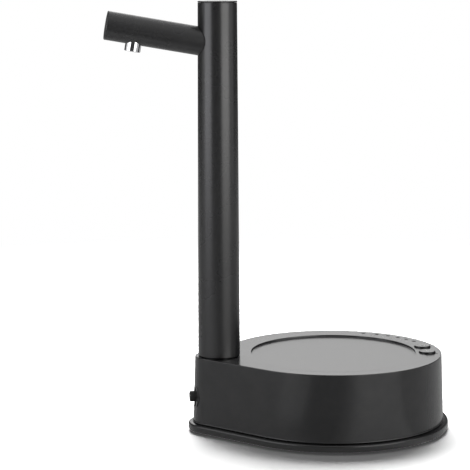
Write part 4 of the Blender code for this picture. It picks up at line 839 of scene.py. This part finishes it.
# %% [markdown]
# ## The nozzle
#
# The nozzle is a short sleeve of polished steel. Its rim is rolled thin, and inside it a
# disc with seven small holes straightens the flow, so that nothing sprays.

# %% Nozzle and flow straightener
sleeve = turned("nozzle_sleeve", [
    (1.7, 1.8), (4.55, 1.8), (4.55, 11.55), (4.46, 11.85), (4.2, 12.0), (3.35, 12.0),
    (3.15, 11.85), (3.1, 11.6), (3.1, 3.0), (1.7, 3.0), (1.7, 1.8)], 96, through=True)
put(sleeve, nozzle_way)
hand_over(sleeve, "post", nozzle_steel, "nozzle", slot="polished_steel")
disc_top, ring_of_holes = 11.0, 1.7
disc = turned("stream_disc", [(2.8, 7.0), (2.8, 10.85), (2.65, disc_top)], 72)
turns = [k * math.pi / 3 for k in range(6)]
holes = [(0, 0)] + [(ring_of_holes * math.cos(turn), ring_of_holes * math.sin(turn)) for turn in turns]
drill(disc, holes, 0.6, 6.0, 12.0, 24)
round_edges(disc, lambda x, y, z: near(z, disc_top) and math.hypot(x, y) < 2.5, 0.12, 2)
put(disc, nozzle_way)
hand_over(disc, "post", grey_nylon, "flow_straightener", slot="grey_nylon")

# %% [markdown]
# ## The buttons
#
# Each button is a cap that stands a millimetre above the deck, with a softly hollowed
# top to guide the fingertip. Below the deck it has a flange that keeps it in its hole
# and a stem that presses its switch.

# %% Buttons
def button(name):
    """One button cap on the Z axis, from its stem up to its hollowed top."""
    return turned(name, [
        (1.8, 39.1), (1.8, 41.0), (5.3, 41.0), (5.3, 41.8), (4.7, 41.8), (4.7, 44.85), (4.66, 45.0),
        (4.55, 45.12), (4.4, 45.2), (4.2, 45.24), (4.0, 45.22), (3.4, 45.14), (2.4, 45.08),
        (1.2, 45.05)], 72)


for name, (x, y) in buttons.items():
    key = put(button(name + "_cap"), lathe_frame(x, y, 0))
    hand_over(key, name, button_pom, name, slot="black_acetal")

# %% [markdown]
# Each button carries a plain sign, printed in grey: the common on and off sign on one,
# and a drop for the amount of water on the other. A printed sign is a film of ink, so
# each is a flat outline set corner by corner and extruded to a very thin solid.

# %% Printed signs on the buttons
def ink(name, outline_points, thickness, place):
    """A thin solid from flat closed outlines in mm, set at a place."""
    piece = empty_mesh(name)
    mesh = bmesh.from_edit_mesh(piece.data)
    for points in outline_points:
        mesh.faces.new([mesh.verts.new((px * mm, py * mm, 0)) for px, py in points])
    bmesh.update_edit_mesh(piece.data)
    bpy.ops.mesh.select_all(action="SELECT")
    bpy.ops.mesh.extrude_region_move(TRANSFORM_OT_translate={"value": (0, 0, thickness * mm)})
    bpy.ops.mesh.select_all(action="SELECT")
    bpy.ops.mesh.normals_make_consistent(inside=False)
    bpy.ops.object.mode_set(mode="OBJECT")
    return put(piece, place)


def arc(radius, start_deg, end_deg, steps=32):
    """Points along an arc round the origin."""
    sweep = end_deg - start_deg
    angles = [math.radians(start_deg + sweep * k / steps) for k in range(steps + 1)]
    return [(radius * math.cos(a), radius * math.sin(a)) for a in angles]


ring = arc(1.5, 125, 415) + arc(1.2, 415, 125)
bar = [(-0.15, 0.5), (0.15, 0.5), (0.15, 1.75), (-0.15, 1.75)]
drop = arc(1.1, 150, 390) + [(0, 2.1)]
for name, signs in (("power_button", [ring, bar]), ("volume_button", [drop])):
    x, y = buttons[name]
    place = lathe_frame(x, y, 45.06) @ Matrix.Rotation(math.radians(front_deg + 90), 4, "Z")
    sign = ink(name + "_sign", signs, 0.04, place)
    hand_over(sign, name, mark_ink)


# %% [markdown]
# Beside the six lights stand the plain numbers one to six, so that one can tell the
# steps apart. Blender's own font gives their shapes, and each becomes a mesh because
# only a mesh can be handed over. The numbers face outwards, like the lights.

# %% Printed numbers beside the lights
def number_text(text, x, y, turn_deg):
    """One printed digit, made from Blender's own font and turned into a mesh."""
    clear_selection()
    bpy.ops.object.text_add()
    digit = bpy.context.object
    digit.name = "volume_number_" + text
    digit.data.body, digit.data.size = text, 3.0 * mm
    digit.data.align_x, digit.data.align_y = "CENTER", "CENTER"
    half_film = 0.02
    digit.data.extrude = half_film * mm
    bpy.ops.object.convert(target="MESH")
    place = lathe_frame(x, y, deck_z + half_film) @ Matrix.Rotation(math.radians(turn_deg), 4, "Z")
    put(digit, place)
    edit(digit)
    bpy.ops.mesh.select_all(action="SELECT")
    bpy.ops.mesh.remove_doubles(threshold=0.001 * mm)
    bpy.ops.object.mode_set(mode="OBJECT")
    return hand_over(digit, "base", mark_ink)


for number, angle in enumerate(light_angles, 1):
    number_text(str(number), *polar(51.6, angle), angle - 90)

# %% [markdown]
# ## Lights
#
# Behind the windows lies one curved bar of clear plastic with a pip for each light. A
# small rectangle swept round the centre of the deck with the spin tool makes the bar.

# %% Light guide and charge light
clear_selection()
bar_z, overhang = 40.6, 2.2
bpy.ops.mesh.primitive_plane_add(size=1, rotation=(math.pi / 2, 0, 0),
                                 location=(light_reach * mm, 0, bar_z * mm))
guide = named("light_bar")
guide.scale = (2.8 * mm, 2.4 * mm, 1)
bpy.ops.object.transform_apply()
guide.data.transform(Matrix.Rotation(math.radians(light_angles[-1] + overhang), 4, "Z"))
edit(guide)
bpy.ops.mesh.select_all(action="SELECT")
sweep = math.radians(light_angles[-1] - light_angles[0] + 2 * overhang)
bpy.ops.mesh.spin(steps=32, angle=sweep, center=(0, 0, 0), axis=(0, 0, 1))
bpy.ops.mesh.select_all(action="SELECT")
bpy.ops.mesh.remove_doubles(threshold=0.001 * mm)
bpy.ops.mesh.normals_make_consistent(inside=False)
bpy.ops.object.mode_set(mode="OBJECT")
put(guide, lathe_frame(round_x, 0, 0))
print("light bar:", len(guide.data.polygons), "faces before its pips")
drill(guide, lights, 0.9, bar_z, 43.6, 32, "UNION")
hand_over(guide, "base", smoked_acrylic, "led_light_guide", slot="light_guide_acrylic")
lens = turned("charge_lens", [
    (1.0, 35.1), (1.0, 36.3), (0.45, 36.3), (0.45, 43.72), (0.38, 43.8)], 32)
put(lens, lathe_frame(*charge_light, 0))
hand_over(lens, "base", smoked_acrylic, "charge_light_lens", slot="light_guide_acrylic")

# %% [markdown]
# ## The tail and the socket
#
# A rubber plug stands in a shallow round seat in the tail's end, and the bottle's hose
# is pushed on there. Its profile closes on itself round the bore: a wide collar inside
# the wall holds it, and its head is a little thicker than its neck, so the hose grips.

# %% Inlet plug
plug = turned("inlet_plug", [
    (1.3, -8.9), (1.9, -8.9), (2.1, -8.5), (2.1, -2.9), (5.6, -2.9), (5.6, -1.4), (2.7, -1.4),
    (2.7, 2.0), (3.05, 2.6), (3.05, 5.8), (2.95, 6.2), (2.6, 6.45), (2.3, 6.5), (1.5, 6.5),
    (1.3, 6.35), (1.3, -8.9)], 96, through=True)
put(plug, tail_way)
hand_over(plug, "base", black_rubber, "inlet_stub", slot="black_abs")

# %% [markdown]
# The charging socket is a shell drawn from thin steel with a plastic tongue inside. The
# rounded bar from before gives the shell. Its open end is inset by the thickness of the
# sheet and pushed in, and the tongue is joined to the bottom of that hollow.

# %% Charging socket
shell = rounded_bar("socket_shell", -7.9, -0.6, 4.47, 1.63, 1.4)
edit(shell)
pick(shell, "FACE", lambda x, y, z: near(x, -0.6))
bpy.ops.mesh.inset(thickness=0.3 * mm, depth=0)
bpy.ops.mesh.extrude_region_move(TRANSFORM_OT_translate={"value": (-6.2 * mm, 0, 0)})
bpy.ops.object.mode_set(mode="OBJECT")
combine(shell, rounded_bar("tongue", -7.4, -2.3, 3.35, 0.35, 0.12), "UNION")
put(shell, flank_way)
hand_over(shell, "base", socket_steel, "usb_c_socket", slot="polished_steel")

# %% [markdown]
# ## The pieces inside
#
# The works under the deck keep their CAD shape. They are still given real finishes,
# because a housing may be lifted off one day: acetal and nylon mouldings, a blue wrapped
# battery cell, a motor in a zinc-plated can, copper windings, a green circuit board.

# %% Finishes of the works
inside = {
    "black_abs": satin_abs,
    "black_acetal": button_pom,
    "grey_nylon": grey_nylon,
    "black_rubber": black_rubber,
    "polished_steel": nozzle_steel,
    "zinc_plated_steel": zinc_steel,
    "light_guide_acrylic": smoked_acrylic,
    "white_acetal": finish("natural_moulded_acetal", "dcdad2", "e6e4dd", (0.30, 0.38),
                           6 * mm, 0.4 * mm, 0.003 * mm, ior=1.48),
    "red_silicone": finish("red_moulded_silicone", "a8352a", "b83f33", (0.42, 0.52),
                           4 * mm, 0.3 * mm, 0.004 * mm, ior=1.41),
    "clear_silicone": finish("milky_extruded_silicone", "c9cdcd", "d6dada", (0.28, 0.36),
                             5 * mm, 0.5 * mm, 0.002 * mm, ior=1.41),
    "dark_ferrite": finish("dark_sintered_ferrite", "3a3a3c", "46464a", (0.55, 0.70),
                           2 * mm, 0.2 * mm, 0.01 * mm, ior=2.0),
    "copper_winding": finish("enamelled_copper_wire", "8c4a2a", "b0643c", (0.22, 0.34),
                             1.5 * mm, 0.35 * mm, 0.05 * mm, metallic=1.0, stretch=(0.2, 1, 1)),
    "sintered_bronze": finish("porous_sintered_bronze", "8a6a3e", "a37f4e", (0.38, 0.52),
                              1 * mm, 0.12 * mm, 0.01 * mm, metallic=1.0),
    "green_board": finish("green_solder_mask", "1c5a34", "23683e", (0.28, 0.36),
                          6 * mm, 0.6 * mm, 0.004 * mm, ior=1.55),
    "cell_wrap": finish("blue_shrink_wrap", "2a55a0", "3060ae", (0.24, 0.32),
                        8 * mm, 0.8 * mm, 0.004 * mm, ior=1.5),
}
dressed = {}
for name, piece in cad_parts.items():
    if piece.hide_render:
        continue
    slot_name = piece.data.materials[0].name.split(".")[0]
    piece.data.materials.clear()
    piece.data.materials.append(inside[slot_name])
    dressed.setdefault(slot_name, []).append(name)
print("dressed CAD pieces:", {slot: len(names) for slot, names in dressed.items()})
